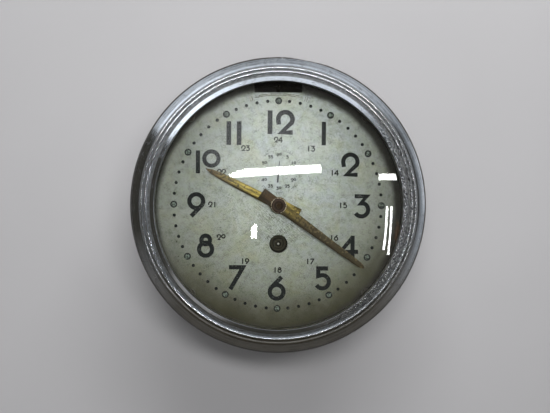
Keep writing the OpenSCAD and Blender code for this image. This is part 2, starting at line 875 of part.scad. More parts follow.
module hairspring() {
    step = 15;
    full = coil_turns * 360;
    first = stud_dir - full;
    last = full - asin((stud_r + coil_t / 2) / coil_out);
    marks = concat([for (a = [0:step:full - step]) a], [last]);
    n = len(marks) - 1;
    color("steelblue") at(balance_at, spring_z) linear_extrude(height = spring_t)
        polygon(concat(
            [for (i = [0:n]) polar(coil_radius(marks[i]) + coil_t / 2, first + marks[i])],
            [for (i = [n:-1:0]) polar(coil_radius(marks[i]) - coil_t / 2, first + marks[i])]));
}

module hairspring_stud() {
    color("silver") at(balance_at) rotate([0, 0, stud_dir]) translate([coil_out, 0, 0])
        rod(stud_r, spring_z - 0.3, front_top);
}

// Regulator, its tip stands in the notch of the dial
index_t = 0.9;
index_z = front_top + cock_t + 0.05;
index_in_notch = 4;
index_tip_y = notch_r + index_in_notch;

module regulator_index() {
    reach = index_tip_y - balance_at[1];
    color("silver") at(balance_at) {
        difference() {
            union() {
                rod(cock_boss_r + 1.3, index_z, index_z + index_t);
                translate([-0.9, 0, index_z]) cube([1.8, reach, index_t]);
                translate([-0.6, reach - 1.2, index_z])
                    cube([1.2, 1.2, dial_top + 0.4 - index_z]);
            }
            rod(cock_boss_r + run, index_z - 1, index_z + index_t + 1);
        }
        for (s = [-1, 1])
            translate([0, coil_out + s * 0.45, 0]) rod(0.2, spring_z - 0.3, index_z + index_t / 2);
    }
}

// Barrel, mainspring and winding arbor
barrel_wall = 1.2;
cap_t = 1.2;

module barrel() {
    color("gold") at(barrel_at) {
        difference() {
            union() {
                translate([0, 0, great_z]) gear(m_barrel, z_barrel, wheel_add, great_t);
                rod(barrel_d / 2, great_z, barrel_top);
            }
            rod(barrel_d / 2 - barrel_wall, great_z + great_t, barrel_top + 1);
            rod(winding_pivot_r + run, great_z - 1, great_z + great_t + 1);
        }
    }
}

module barrel_cap() {
    color("goldenrod") at(barrel_at)
        ring(barrel_d / 2 - barrel_wall, winding_pivot_r + run, barrel_top - cap_t, barrel_top);
}

module mainspring() {
    turns = 11;
    blade = 0.45;
    r_in = core_r + 0.6;
    r_out = barrel_d / 2 - barrel_wall - blade / 2;
    n = turns * 18;
    z0 = great_z + great_t + 0.2;
    color("steelblue") at(barrel_at, z0) linear_extrude(height = barrel_top - cap_t - 0.2 - z0)
        polygon(concat(
            [for (i = [0:n]) polar(r_in + (r_out - r_in) * i / n + blade / 2 * (i == n ? 0.9 : 1), i * 20)],
            [for (i = [n:-1:0]) polar(r_in + (r_out - r_in) * i / n - blade / 2, i * 20)]));
}

module winding_arbor() {
    color("silver") at(barrel_at) {
        rod(back_pivot_r, back_z, great_z);
        rod(winding_pivot_r, great_z - 0.8, front_top);
        rod(core_r, great_z + great_t + 0.1, barrel_top - cap_t - 0.1);
        translate([-square_w / 2, -square_w / 2, front_top - 0.5])
            cube([square_w, square_w, dial_top - square_below - front_top + 0.5]);
    }
}

module square_bore(t) {
    w = square_w + 0.02;
    translate([-w / 2, -w / 2, -1]) cube([w, w, t + 2]);
}

module ratchet_wheel() {
    pitch = 360 / ratchet_teeth;
    color("silver") at(barrel_at, ratchet_z) difference() {
        linear_extrude(height = ratchet_t)
            polygon([for (i = [0:ratchet_teeth - 1]) each
                [polar(ratchet_root, ratchet_phase + i * pitch),
                 polar(ratchet_r, ratchet_phase + (i + 0.86) * pitch),
                 polar(ratchet_root, ratchet_phase + (i + 0.97) * pitch)]]);
        square_bore(ratchet_t);
    }
}

module ratchet_washer() {
    color("silver") at(barrel_at, ratchet_z + ratchet_t) difference() {
        cylinder(r = washer_r, h = washer_t);
        square_bore(washer_t);
    }
}

// Click, drawn lifted just clear of the ratchet teeth
ratchet_phase = click_tip_dir - 0.6;
click_tip = barrel_at + (ratchet_r + click_clear) * [cos(click_tip_dir), sin(click_tip_dir)];
click_arm = norm(click_tip - click_at);
click_heading = heading(click_at, click_tip);

module click_frame() {
    at(click_at) rotate([0, 0, click_heading]) children();
}

module click() {
    color("silver") click_frame() translate([0, 0, click_z]) difference() {
        union() {
            cylinder(r = 2.2, h = click_t);
            linear_extrude(height = click_t)
                polygon([[0, -1.6], [click_arm - 4.5, 1.1], [click_arm - 2.2, 1.25],
                         [click_arm - 0.4, 0.45], [click_arm, 0], [click_arm, 1.4],
                         [click_arm - 2, 2.5], [0, 2.2]]);
        }
        bore(click_post_r + run, click_t);
    }
}

module click_screw() {
    color("steelblue") at(click_at) {
        rod(click_post_r, front_z + 0.2, click_z + click_t + 0.1);
        slotted_head(2, click_z + click_t + 0.1, click_z + click_t + 1.2);
    }
}

click_spring_t = 1.4;

module click_spring_screw_place() {
    click_frame() translate([-4.5, 5.5, 0]) children();
}

module click_spring() {
    z0 = front_top;
    color("steelblue") difference() {
        union() {
            click_spring_screw_place() rod(2.2, z0, z0 + click_spring_t + 0.4);
            click_frame() translate([0, 0, z0 + 0.3]) linear_extrude(height = click_spring_t)
                polygon([[-3.6, 5], [6, 2.8], [7.4, 3], [7.4, 3.4], [6, 3.2], [-2.4, 6.2]]);
        }
        click_spring_screw_place() bore(cock_screw_r + 0.05, front_top + 20);
    }
}

module click_spring_screw() {
    color("steelblue") click_spring_screw_place()
        slotted_screw(cock_screw_r, 2, front_z + 0.3, front_top + click_spring_t + 0.4, 1);
}

// Going train
hub_r = 2.6;
small_hub_r = 1.9;
seconds_arbor_r = 0.7;

module intermediate_wheel() {
    color("gold") at(inter_at, inter_z) train_wheel(m_inter, z_inter, wheel_t, hub_r);
}

module intermediate_arbor() {
    phi = meshed(0, z_barrel, heading(barrel_at, inter_at), z_ten);
    color("silver") at(inter_at) {
        rod(big_pivot_r, back_z, front_top);
        rod(1.1, gap_z + 0.3, front_z - 0.3);
        rod(hub_r, inter_z - 0.4, inter_z + wheel_t);
        translate([0, 0, great_z - 0.7]) pinion(m_barrel, z_ten, great_t + 2.2, phi);
    }
}

module centre_wheel() {
    color("gold") at(centre_at, centre_z) train_wheel(m_centre, z_centre, centre_t, hub_r);
}

module centre_arbor() {
    phi = meshed(0, z_inter, heading(inter_at, centre_at), z_centre_pinion);
    color("silver") {
        rod(1, back_z, gap_z + 1);
        rod(centre_arbor_r, gap_z + 0.3, nut_z + nut_t + 0.2);
        rod(hub_r, centre_z - 0.5, centre_z + centre_t);
        translate([0, 0, inter_z - 0.9]) pinion(m_inter, z_centre_pinion, wheel_t + 1.8, phi);
        rotate([0, 0, 40]) translate([-0.85, -0.85, nut_z]) cube([1.7, 1.7, arbor_end_z - nut_z]);
    }
}

module centre_friction_spring() {
    color("steelblue") translate([0, 0, friction_z]) difference() {
        union() {
            cylinder(r = friction_r, h = friction_t);
            for (i = [0:2])
                rotate([0, 0, i * 120]) translate([0, -0.7, 0]) cube([friction_reach, spoke_w, friction_t]);
        }
        bore(centre_arbor_r, friction_t);
    }
}

module third_wheel() {
    color("gold") at(third_at, third_z) train_wheel(m_third, z_third, wheel_t, small_hub_r);
}

module third_arbor() {
    phi = meshed(0, z_centre, heading(centre_at, third_at), z_ten);
    color("silver") at(third_at) {
        rod(pivot_r, back_z, front_top);
        rod(0.9, gap_z + 0.3, front_z - 0.3);
        rod(small_hub_r, third_z - 0.5, third_z + wheel_t);
        translate([0, 0, centre_z - 1]) pinion(m_centre, z_ten, centre_t + 2, phi);
    }
}

module fourth_wheel() {
    color("gold") at(fourth_at, fourth_z) train_wheel(m_fourth, z_fourth, wheel_t, small_hub_r);
}

module fourth_arbor() {
    phi = meshed(0, z_third, heading(third_at, fourth_at), z_ten);
    color("silver") at(fourth_at) {
        rod(pivot_r, back_z, gap_z + 1);
        rod(0.9, gap_z + 0.3, front_z - 0.3);
        rod(seconds_arbor_r, front_z - 1, seconds_z);
        rod(small_hub_r, fourth_z - 0.5, fourth_z + wheel_t);
        translate([0, 0, third_z - 1.5]) pinion(m_third, z_ten, wheel_t + 3, phi);
    }
}

// Motion work
post_r = 1.2;
post_head_r = 2;

module cannon_pinion() {
    color("silver") difference() {
        union() {
            rod(cannon_pipe_r, cannon_z, minute_z + hand_t);
            rod(cannon_pipe_r - 0.25, minute_z, nut_z + nut_t - 0.1);
            translate([0, 0, cannon_z + 0.3]) pinion(m_cannon, z_cannon, wheel_t + 0.9, 0);
        }
        rod(centre_arbor_r + run, cannon_z - 1, nut_z + nut_t + 1);
    }
}

module minute_wheel() {
    phi = meshed(0, z_cannon, 0, z_minute);
    color("gold") at(minute_at_xy, minute_wheel_z) difference() {
        union() {
            gear(m_cannon, z_minute, wheel_add, wheel_t, phi);
            pinion(m_hour, z_ten, wheel_t + hour_wheel_t + 1.8, 0);
        }
        crossings(3.4, pitch_r(m_cannon, z_minute) - 1.5, 1.2, 4, wheel_t);
        bore(post_r + run, 10);
    }
}

module minute_wheel_post() {
    top = minute_wheel_z + wheel_t + hour_wheel_t + 1.9;
    color("silver") at(minute_at_xy) {
        rod(post_r, front_z + 0.2, top);
        rod(post_head_r, top, top + 0.6);
    }
}

module hour_wheel() {
    phi = meshed(0, z_ten, 180, z_hour);
    color("gold") difference() {
        union() {
            translate([0, 0, hour_wheel_z]) gear(m_hour, z_hour, wheel_add, hour_wheel_t, phi);
            rod(hour_pipe_r, hour_wheel_z, hour_z + hand_t);
        }
        rod(cannon_pipe_r + run, hour_wheel_z - 1, hour_z + hand_t + 1);
    }
}

// Hands, drawn pointing to twelve and turned to the clock angle
module hour_hand() {
    hub_z = hour_z - 0.3;
    color("darkgoldenrod") rotate([0, 0, -hour_at]) difference() {
        union() {
            translate([0, 0, hour_z]) linear_extrude(height = hand_t)
                polygon([[-3.6, -11.6], [3.6, -11.6], [3.6, 0], [2.35, 5], [2.1, 25], [1.65, 34],
                         [1.15, hour_l - 3.4], [0, hour_l], [-1.15, hour_l - 3.4], [-1.65, 34],
                         [-2.1, 25], [-2.35, 5], [-3.6, 0]]);
            rod(hour_hub_r, hub_z, hour_z + hand_t);
        }
        rod(hour_pipe_r, hub_z - 1, hour_z + hand_t + 1);
    }
}

module minute_hand() {
    color("darkgoldenrod") rotate([0, 0, -minute_at]) difference() {
        union() {
            translate([0, 0, minute_z]) linear_extrude(height = hand_t)
                polygon([[-3, -10.9], [3, -10.9], [3, 0], [2.6, 6], [1.8, 39], [1.4, minute_l - 3],
                         [0.8, minute_l - 0.8], [0, minute_l], [-0.8, minute_l - 0.8],
                         [-1.4, minute_l - 3], [-1.8, 39], [-2.6, 6], [-3, 0]]);
            rod(4.2, minute_z - 0.4, minute_z + hand_t);
        }
        rod(cannon_pipe_r, minute_z - 1, minute_z + hand_t + 1);
    }
}

module seconds_hand() {
    color("black") at(fourth_at) rotate([0, 0, -seconds_at]) {
        difference() {
            union() {
                rod(1, seconds_z - 0.4, seconds_z + 0.6);
                translate([0, 0, seconds_z]) linear_extrude(height = 0.3)
                    polygon([[-0.4, -5.2], [0.4, -5.2], [0.35, 0], [0.18, seconds_l], [-0.18, seconds_l],
                             [-0.35, 0]]);
            }
            rod(seconds_arbor_r, seconds_z - 1, seconds_z);
        }
    }
}

module hand_nut() {
    r = 4.05;
    n = 30;
    color("saddlebrown") translate([0, 0, nut_z]) difference() {
        linear_extrude(height = nut_t)
            polygon([for (i = [0:n - 1]) each [polar(r, i * 360 / n), polar(r - 0.25, (i + 0.5) * 360 / n)]]);
        bore(cannon_pipe_r - 0.25, nut_t);
    }
}

case_body();
case_gasket();
dial_seat_ring();
hinge_case_leaf();
hinge_leaf_rivets();
hinge_pin();
catch_spring();
catch_rivets();
dial();
dial_screws();
dial_feet();
dial_foot_screws();
back_plate();
front_plate();
pillars();
pillar_screws();
balance_cock();
balance_cock_screws();
balance_jewels();
banking_pins();
hairspring();
hairspring_stud();
minute_wheel_post();
click_spring();
click_spring_screw();
click_screw();
bezel();
glass();
glass_ring();
hinge_bezel_leaf();
hour_wheel();
hour_hand();
cannon_pinion();
minute_hand();
hand_nut();
minute_wheel();
barrel();
barrel_cap();
mainspring();
winding_arbor();
ratchet_wheel();
ratchet_washer();
click();
intermediate_wheel();
intermediate_arbor();
centre_wheel();
centre_arbor();
centre_friction_spring();
third_wheel();
third_arbor();
fourth_wheel();
fourth_arbor();
seconds_hand();
escape_wheel();
escape_arbor();
pallet_lever();
balance_wheel();
balance_screws();
balance_staff();
regulator_index();
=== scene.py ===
import math

import bmesh
import bpy
from mathutils import Matrix, Vector, noise


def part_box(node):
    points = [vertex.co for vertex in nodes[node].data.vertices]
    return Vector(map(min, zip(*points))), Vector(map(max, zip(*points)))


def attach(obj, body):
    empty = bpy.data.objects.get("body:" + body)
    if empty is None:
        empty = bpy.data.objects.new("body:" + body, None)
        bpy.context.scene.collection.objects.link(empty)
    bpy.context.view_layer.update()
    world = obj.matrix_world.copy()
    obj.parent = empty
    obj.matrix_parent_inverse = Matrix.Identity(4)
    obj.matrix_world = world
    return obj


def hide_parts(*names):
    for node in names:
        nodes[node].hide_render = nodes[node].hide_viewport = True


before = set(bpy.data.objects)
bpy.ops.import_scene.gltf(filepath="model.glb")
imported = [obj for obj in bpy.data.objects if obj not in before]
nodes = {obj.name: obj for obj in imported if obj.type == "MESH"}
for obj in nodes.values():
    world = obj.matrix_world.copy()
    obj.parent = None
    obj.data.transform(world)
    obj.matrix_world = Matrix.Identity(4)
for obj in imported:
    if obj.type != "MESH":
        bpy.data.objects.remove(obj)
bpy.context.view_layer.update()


# The view. The clock lies on its back on a table and is looked at from straight above, at arm's length, from a
# touch left of its middle. The picture is 550 by 413 and the clock's middle falls just right of the picture's.
mm = 0.001
picture_width, picture_height = 550, 413
focal_length = 697.2
sensor_width = 36
eye = Vector((-9, 6, 405)) * mm
looked_at = Vector((-1.91, -0.44, 50)) * mm

camera = bpy.data.objects.new("camera", bpy.data.cameras.new("camera"))
bpy.context.scene.collection.objects.link(camera)
bpy.context.scene.camera = camera
bpy.context.scene.view_settings.view_transform = "Standard"
camera.data.sensor_width = sensor_width
camera.data.lens = sensor_width * focal_length / picture_width
camera.data.clip_start = 10 * mm
camera_back = (eye - looked_at).normalized()
camera_right = Vector((0, 1, 0)).cross(camera_back).normalized()
camera_up = camera_back.cross(camera_right)
camera.matrix_world = Matrix.Translation(eye) @ Matrix((camera_right, camera_up, camera_back)).transposed().to_4x4()


# The table the clock lies on: a smooth pale grey sheet, matt, with the faintest mottling and a few specks of dust.
# It is only the ground for the clock's shadow and isn't part of it.
def colour(red, green, blue):
    """A colour as seen on a screen, 0 to 255, as the light values that a shader takes."""
    parts = [v / 255 for v in (red, green, blue)]
    return tuple(v / 12.92 if v <= 0.04045 else ((v + 0.055) / 1.055) ** 2.4 for v in parts) + (1,)


def give(socket, value):
    """Wires an output to a socket, or sets the socket to a plain value."""
    if isinstance(value, bpy.types.NodeSocket):
        socket.id_data.links.new(value, socket)
    else:
        socket.default_value = value


def fill(node, **named):
    """Fills a node's sockets by name, with low lines in place of spaces."""
    for key, value in named.items():
        give(node.inputs[key.replace("_", " ")], value)


def tree_of(*values):
    """The node tree that the outputs among some values belong to."""
    return next(value.id_data for value in values if isinstance(value, bpy.types.NodeSocket))


def add(kind, *values, home=None, **named):
    """A shader node, in the tree of what is wired to it or in home.

    Small-letter names are its settings, capital ones its sockets, and the rest go to its sockets in order.
    """
    node = (home or tree_of(*values, *named.values())).nodes.new("ShaderNode" + kind)
    for key in [k for k in named if k[0].islower()]:
        setattr(node, key, named.pop(key))
    fill(node, **named)
    for socket, value in zip(node.inputs, values):
        give(socket, value)
    return node


def share(value, low, high, from_value=0.0, to_value=1.0):
    """How far value has come from low to high, eased at both ends."""
    return add("MapRange", value, low, high, from_value, to_value, interpolation_type="SMOOTHSTEP").outputs[0]


def mixed(how_much, under, over):
    """One colour laid over another."""
    node = add("Mix", home=tree_of(how_much, under, over), data_type="RGBA")
    for index, value in ((0, how_much), (6, under), (7, over)):
        give(node.inputs[index], value)
    return node.outputs[2]


def cloud(place, scale, detail=3.0, rough=0.5, warp=0.0):
    """Soft random patches about 1/scale millimetres apart."""
    return add("TexNoise", Vector=place, Scale=scale, Detail=detail, Roughness=rough, Distortion=warp).outputs[0]


def finish_of(name, metallic=0.0, roughness=0.5, **sockets):
    """A new material, its shader and the place on the piece in millimetres."""
    material = bpy.data.materials.new(name)
    material.use_nodes = True
    shader = material.node_tree.nodes["Principled BSDF"]
    fill(shader, Metallic=metallic, Roughness=roughness, **sockets)
    object_place = add("TexCoord", home=material.node_tree).outputs["Object"]
    place = add("VectorMath", object_place, operation="SCALE", Scale=1000).outputs[0]
    return material, shader, place


def raise_surface(shader, height, depth):
    """Gives the shader a bump of the named depth in millimetres."""
    bump = add("Bump", Height=height, Distance=depth * mm, Strength=1.0)
    give(shader.inputs["Normal"], bump.outputs[0])


def placed(name, data):
    """An object in the scene from its mesh or light."""
    made = bpy.data.objects.new(name, data)
    bpy.context.scene.collection.objects.link(made)
    return made


table_finish, shader, place = finish_of("table_sheet", roughness=0.75, Specular_IOR_Level=0.2)
mottle = cloud(place, 0.012, 2)
dust = share(cloud(place, 0.35, 1), 0.86, 0.9)
ground = mixed(mottle, colour(205, 204, 206), colour(211, 210, 212))
fill(shader, Base_Color=mixed(dust, ground, colour(150, 148, 146)))
raise_surface(shader, cloud(place, 1.5, 4), 0.02)

table_mesh = bpy.data.meshes.new("table")
half = 0.5
table_mesh.from_pydata([(-half, -half, 0), (half, -half, 0), (half, half, 0), (-half, half, 0)], [], [(0, 1, 2, 3)])
table = placed("table", table_mesh)
table.location.z = -0.02 * mm
table_mesh.materials.append(table_finish)


# The light: broad lamps, mostly beyond the top edge of the clock, so that the bezel throws a soft shadow on the dial
# and the table darkens towards the bottom. Narrow tubes and a room with a window, a door and a pale wall are
# mirrored in the glass and the bezel.
glass_radius, glass_crown = 347.5, 58.95
tube_distance = 1.2


def lamp(name, place, across, size, radiance, mirrored=False):
    """A flat lamp of the named width and height facing the clock, with its width laid along across.

    It lights the clock and isn't mirrored in it, or the other way round.
    """
    light = bpy.data.lights.new(name, "AREA")
    light.shape, (light.size, light.size_y) = "RECTANGLE", size
    light.energy = radiance * 4 * size[0] * size[1]
    holder = placed(name, light)
    back = (Vector(place) - looked_at).normalized()
    side = (Vector(across) - Vector(across).dot(back) * back).normalized()
    turn = Matrix((side, back.cross(side), back)).transposed().to_4x4()
    holder.matrix_world = Matrix.Translation(place) @ turn
    holder.visible_camera = False
    holder.visible_diffuse, holder.visible_glossy = not mirrored, mirrored
    holder.visible_transmission = False


def mirrored_in_glass(across, down):
    """Where a tube has to be for the domed glass to show it at a place of the picture."""
    line = camera_right * (across - picture_width / 2) + camera_up * (picture_height / 2 - down)
    line = (line - camera_back * focal_length).normalized()
    middle = Vector((0, 0, (glass_crown - glass_radius) * mm))
    half_way = line.dot(middle - eye)
    hit = eye + line * (half_way - math.sqrt((glass_radius * mm)**2 - (middle - eye).length_squared + half_way**2))
    normal = (hit - middle).normalized()
    return hit + (line - 2 * line.dot(normal) * normal) * tube_distance


def streak(name, start, end, thick, radiance):
    """A narrow tube that the glass shows between two places of the picture, thick in picture dots."""
    first, last = mirrored_in_glass(*start), mirrored_in_glass(*end)
    slope = Vector((end[0] - start[0], end[1] - start[1])).normalized()
    middle = [(a + b) / 2 for a, b in zip(start, end)]
    one = mirrored_in_glass(middle[0] - slope.y * thick / 2, middle[1] + slope.x * thick / 2)
    other = mirrored_in_glass(middle[0] + slope.y * thick / 2, middle[1] - slope.x * thick / 2)
    size = ((last - first).length, (one - other).length)
    lamp(name, (first + last) / 2, last - first, size, radiance, mirrored=True)


for name, place, across, size, radiance in (
        ("key_lamp", (0.055, 0.135, 0.58), (1, -0.25, 0), (0.34, 0.09), 9.8),
        ("overhead", (-0.08, -0.02, 0.8), (1, 0, 0), (0.34, 0.34), 1.15),
        ("low_fill", (-0.46, -0.4, 0.4), (1, -1, 0), (0.5, 0.4), 0.4),
        ("window", (0.12, 0.79, 0.47), (1, -0.15, 0), (0.8, 0.3), 6.6)):
    lamp(name, place, across, size, radiance)
for name, start, end, thick, radiance in (
        ("tube_over_dial", (244, 173.0), (321.3, 168.6), 8.4, 18),
        ("tube_over_dial_tip", (237, 174.3), (245, 173.2), 7.4, 18),
        ("tube_over_dial_tip", (232, 175.3), (238, 174.6), 5.8, 18),
        ("tube_over_dial_tip", (229, 175.7), (233, 175.4), 3.6, 18),
        ("tube_right_short", (378.6, 176.9), (396.5, 176.9), 6.4, 24),
        ("tube_right_long", (391.6, 206), (388.2, 254.5), 2.2, 28),
        ("tube_right_thin", (387.2, 206), (383.8, 250), 2.4, 28),
        ("tube_left_short", (253.9, 227), (253.9, 238.3), 5.8, 40),
        ("tube_left_corner", (255.2, 224.4), (255.2, 227.4), 3.2, 40)):
    streak(name, start, end, thick, radiance)


def sum_of(operation, *values):
    """The result of a sum on one, two or three values."""
    return add("Math", *values, operation=operation).outputs[0]


def times(one, other):
    """One value multiplied by another."""
    return sum_of("MULTIPLY", one, other)


def ramp(value, slope, start):
    """A value times a slope, plus a start."""
    return sum_of("MULTIPLY_ADD", value, slope, start)


def higher(one, other):
    """The higher of two values."""
    return sum_of("MAXIMUM", one, other)


def away_from(value, middle):
    """How far a value is from a middle, on either side."""
    return sum_of("ABSOLUTE", sum_of("SUBTRACT", value, middle))


def near(value, middle, half, core, most=1.0):
    """A mask round a middle, nothing past half and full within core times half."""
    return share(away_from(value, middle), half, half * core, 0, most)


def along(place, way):
    """How far a place lies along a way."""
    return add("VectorMath", place, way, operation="DOT_PRODUCT").outputs["Value"]


def distance(place, point):
    """How far a place is from a point."""
    return add("VectorMath", place, point, operation="DISTANCE").outputs["Value"]


def stretched(place, by):
    """A place with its three parts multiplied."""
    return add("VectorMath", place, by, operation="MULTIPLY").outputs[0]


def part_of(place, axis):
    """One of the three parts of a place."""
    return add("SeparateXYZ", place).outputs[axis]


def layered(shade, *stains_and_shade):
    """A shade under layers of stains and painted shade and light, each a mask and the colour it brings."""
    for how_much, over in stains_and_shade:
        shade = mixed(how_much, shade, over)
    return shade


world = bpy.data.worlds.new("room")
bpy.context.scene.world = world
world.use_nodes = True
background = world.node_tree.nodes["Background"]
way = add("TexCoord", home=world.node_tree).outputs["Generated"]
up = part_of(way, "Z")
level_way = add("VectorMath", stretched(way, (1, 1, 0)), operation="NORMALIZE").outputs[0]
rightward = part_of(level_way, "X")
to_window = along(level_way, (0.02, 1.0, 0))
to_wall = along(level_way, (0.966, 0.26, 0))
to_lamp = along(level_way, (0.985, 0.17, 0))
to_door = ramp(sum_of("ABSOLUTE", rightward), 0.64, along(level_way, (0, -0.77, 0)))
window_height = times(share(up, 0.86, 0.82), share(up, 0.58, 0.4, 1.0, 0.4))
window_edge = share(rightward, -0.1, 0.1, 0.54, 0.82)
window_glow = times(share(to_window, 0.48, window_edge), window_height)
wall_glow = times(share(to_wall, 0.25, 0.8), share(up, 0.58, 0.38, 0.0, 0.7))
door_height = times(near(up, 0.74, 0.1, 0.6), share(rightward, -0.3, 0.3, 0.5, 0.28))
door_glow = times(share(to_door, 0.94, 0.99), door_height)
ceiling_off = distance(stretched(way, (0.7, 1, 0)), (-0.04, 0.25, 0))
ceiling_glow = times(share(ceiling_off, 0.23, 0.12), share(up, 0, 0.2))
lamp_glow = times(share(to_lamp, 0.955, 0.995), share(up, 0.3, 0.12))
window_light = mixed(share(rightward, -0.2, -0.6), (0.98, 1.04, 1.09, 1), (1.6, 1.7, 1.78, 1))
room = layered(
    (0.055, 0.052, 0.043, 1), (wall_glow, (0.45, 0.48, 0.51, 1)), (door_glow, (0.64, 0.62, 0.6, 1)),
    (window_glow, window_light), (ceiling_glow, (0.94, 0.97, 0.99, 1)), (lamp_glow, (0.8, 0.83, 0.86, 1)))
rays = add("LightPath", home=world.node_tree).outputs
seen = higher(rays["Is Camera Ray"], rays["Is Glossy Ray"])
fill(background, Color=mixed(rays["Is Camera Ray"], room, colour(214, 213, 216)),
     Strength=share(seen, 0, 1, 0.12, 1))


# The case: a pressed drum in brown-black lacquer with a rolled lip, four screw holes in its back and a seat for the
# dial. The lacquer has worn through at the foot and in chips, and a flat rubber ring lies on the lip.
def group_of(name, outputs, **inputs):
    """An empty shader node group given a place and its own inputs: its tree, what goes in and what comes out."""
    tree = bpy.data.node_groups.new(name, "ShaderNodeTree")
    tree.interface.new_socket("Place", in_out="INPUT", socket_type="NodeSocketVector")
    for key, value in inputs.items():
        kind = "NodeSocketVector" if isinstance(value, tuple) else "NodeSocketFloat"
        tree.interface.new_socket(key.replace("_", " "), in_out="INPUT", socket_type=kind).default_value = value
    for socket in outputs:
        tree.interface.new_socket(socket, in_out="OUTPUT", socket_type="NodeSocketFloat")
    return tree, tree.nodes.new("NodeGroupInput").outputs, tree.nodes.new("NodeGroupOutput").inputs


def use(group, output, **named):
    """Places a node group in a material with that material's own values and gives one of its outputs."""
    return add("Group", node_tree=group, **named).outputs[output]


edge_wear, given, result = group_of("edge_wear", ["Worn"], Amount=0.5, Patch_Scale=0.6)
corner = share(add("NewGeometry", home=edge_wear).outputs["Pointiness"], 0.5, 0.56)
patch = cloud(given["Place"], given["Patch Scale"], 6.0)
wanted = ramp(corner, 0.45, patch)
edge = sum_of("SUBTRACT", 1.15, given["Amount"])
give(result["Worn"], share(wanted, edge, sum_of("ADD", edge, 0.08)))

specks, given, result = group_of("specks", ["Specks"], Size=1.0, Amount=0.5)
fine = sum_of("DIVIDE", 1.0, given["Size"])
grit = cloud(given["Place"], fine, 2.0, 0.6)
broad = cloud(given["Place"], times(fine, 0.13), 2.0)
level = sum_of("ADD", grit, times(broad, 0.5))
edge = sum_of("SUBTRACT", 1.3, times(given["Amount"], 0.6))
give(result["Specks"], share(level, edge, sum_of("ADD", edge, 0.06)))


def coat(piece, material):
    """Gives a piece one finish in place of any that it has."""
    piece.data.materials.clear()
    piece.data.materials.append(material)


def dress(material, *names):
    """Puts a finish on carried-over nodes."""
    for name in names:
        coat(nodes[name], material)


lacquer, shader, place = finish_of("case_lacquer", roughness=0.4, Coat_Weight=0.15, Coat_Roughness=0.25)
height = ramp(cloud(place, 0.3, 5), 5, part_of(place, "Z"))
chips = use(specks, "Specks", Place=place, Size=1.6, Amount=0.42)
worn = higher(chips, share(height, 3.5, 3.0))
shade = mixed(cloud(place, 0.05, 4), colour(36, 33, 28), colour(54, 50, 42))
dusty = share(cloud(place, 0.12, 5), 0.55, 0.8, 0, 0.25)
shade = mixed(dusty, shade, colour(120, 114, 100))
fill(shader, Base_Color=mixed(worn, shade, colour(150, 140, 118)), Metallic=worn,
     Roughness=share(cloud(place, 0.4, 4), 0.3, 0.7, 0.3, 0.55))
raise_surface(shader, cloud(place, 1.2, 3), 0.03)
dress(lacquer, "case_body")

rubber, shader, place = finish_of("aged_rubber", roughness=0.8, Specular_IOR_Level=0.3)
chalk = share(cloud(place, 0.5, 5), 0.45, 0.7, 0, 0.5)
fill(shader, Base_Color=mixed(chalk, colour(34, 33, 31), colour(84, 80, 74)))
raise_surface(shader, cloud(place, 3, 4), 0.05)
dress(rubber, "case_gasket")


# The movement's frame: two round brass plates, brushed and gone dull yellow, held apart by turned pillars with steel
# screws. The dial stands on the front plate by four feet.
turning_marks, given, result = group_of("turning_marks", ["Line", "Radius"], Centre=(0, 0, 0), Lines_Per_mm=4.0)
offset = add("VectorMath", given["Place"], given["Centre"], operation="SUBTRACT").outputs[0]
flat = stretched(offset, (1, 1, 0))
radius = add("VectorMath", flat, operation="LENGTH").outputs["Value"]
drift = cloud(given["Place"], 0.15, 1.0)
ring_place = add("CombineXYZ", X=radius, Y=times(drift, 0.6)).outputs[0]
give(result["Line"], cloud(ring_place, given["Lines Per mm"], 3.0, 0.7))
give(result["Radius"], radius)

brushed_grain, given, result = group_of("brushed_grain", ["Grain"], Lines_Per_mm=4.0)
long_way = stretched(given["Place"], (0.04, 1, 1))
give(result["Grain"], cloud(long_way, given["Lines Per mm"], 3.0, 0.65))


def toned(shade, by):
    """A plain colour made darker or lighter."""
    return tuple(v * by for v in shade[:3]) + (1,)


def metal(name, pale, dark, roughness, centre=None, lines=4.0, depth=0.012, tarnish=0.5, tarnished=None, wear=0.2):
    """A worked metal: brushed along X, or turned about a centre, with tarnish in patches and brighter edges."""
    material, shader, place = finish_of(name, metallic=1.0, roughness=roughness)
    if centre is None:
        grain = use(brushed_grain, "Grain", Place=place, Lines_Per_mm=lines)
    else:
        grain = use(turning_marks, "Line", Place=place, Centre=centre, Lines_Per_mm=lines)
    shade = mixed(grain, dark, pale)
    patch = share(cloud(place, 0.18, 5, warp=0.6), 0.62 - 0.3 * tarnish, 0.8, 0, 0.75)
    shade = mixed(patch, shade, tarnished or toned(dark, 0.45))
    bright = use(edge_wear, "Worn", Place=place, Amount=wear, Patch_Scale=1.5)
    rough = ramp(grain, 0.18, roughness - 0.09)
    fill(shader, Base_Color=mixed(bright, shade, pale), Roughness=ramp(patch, 0.15, rough))
    raise_surface(shader, grain, depth)
    return material


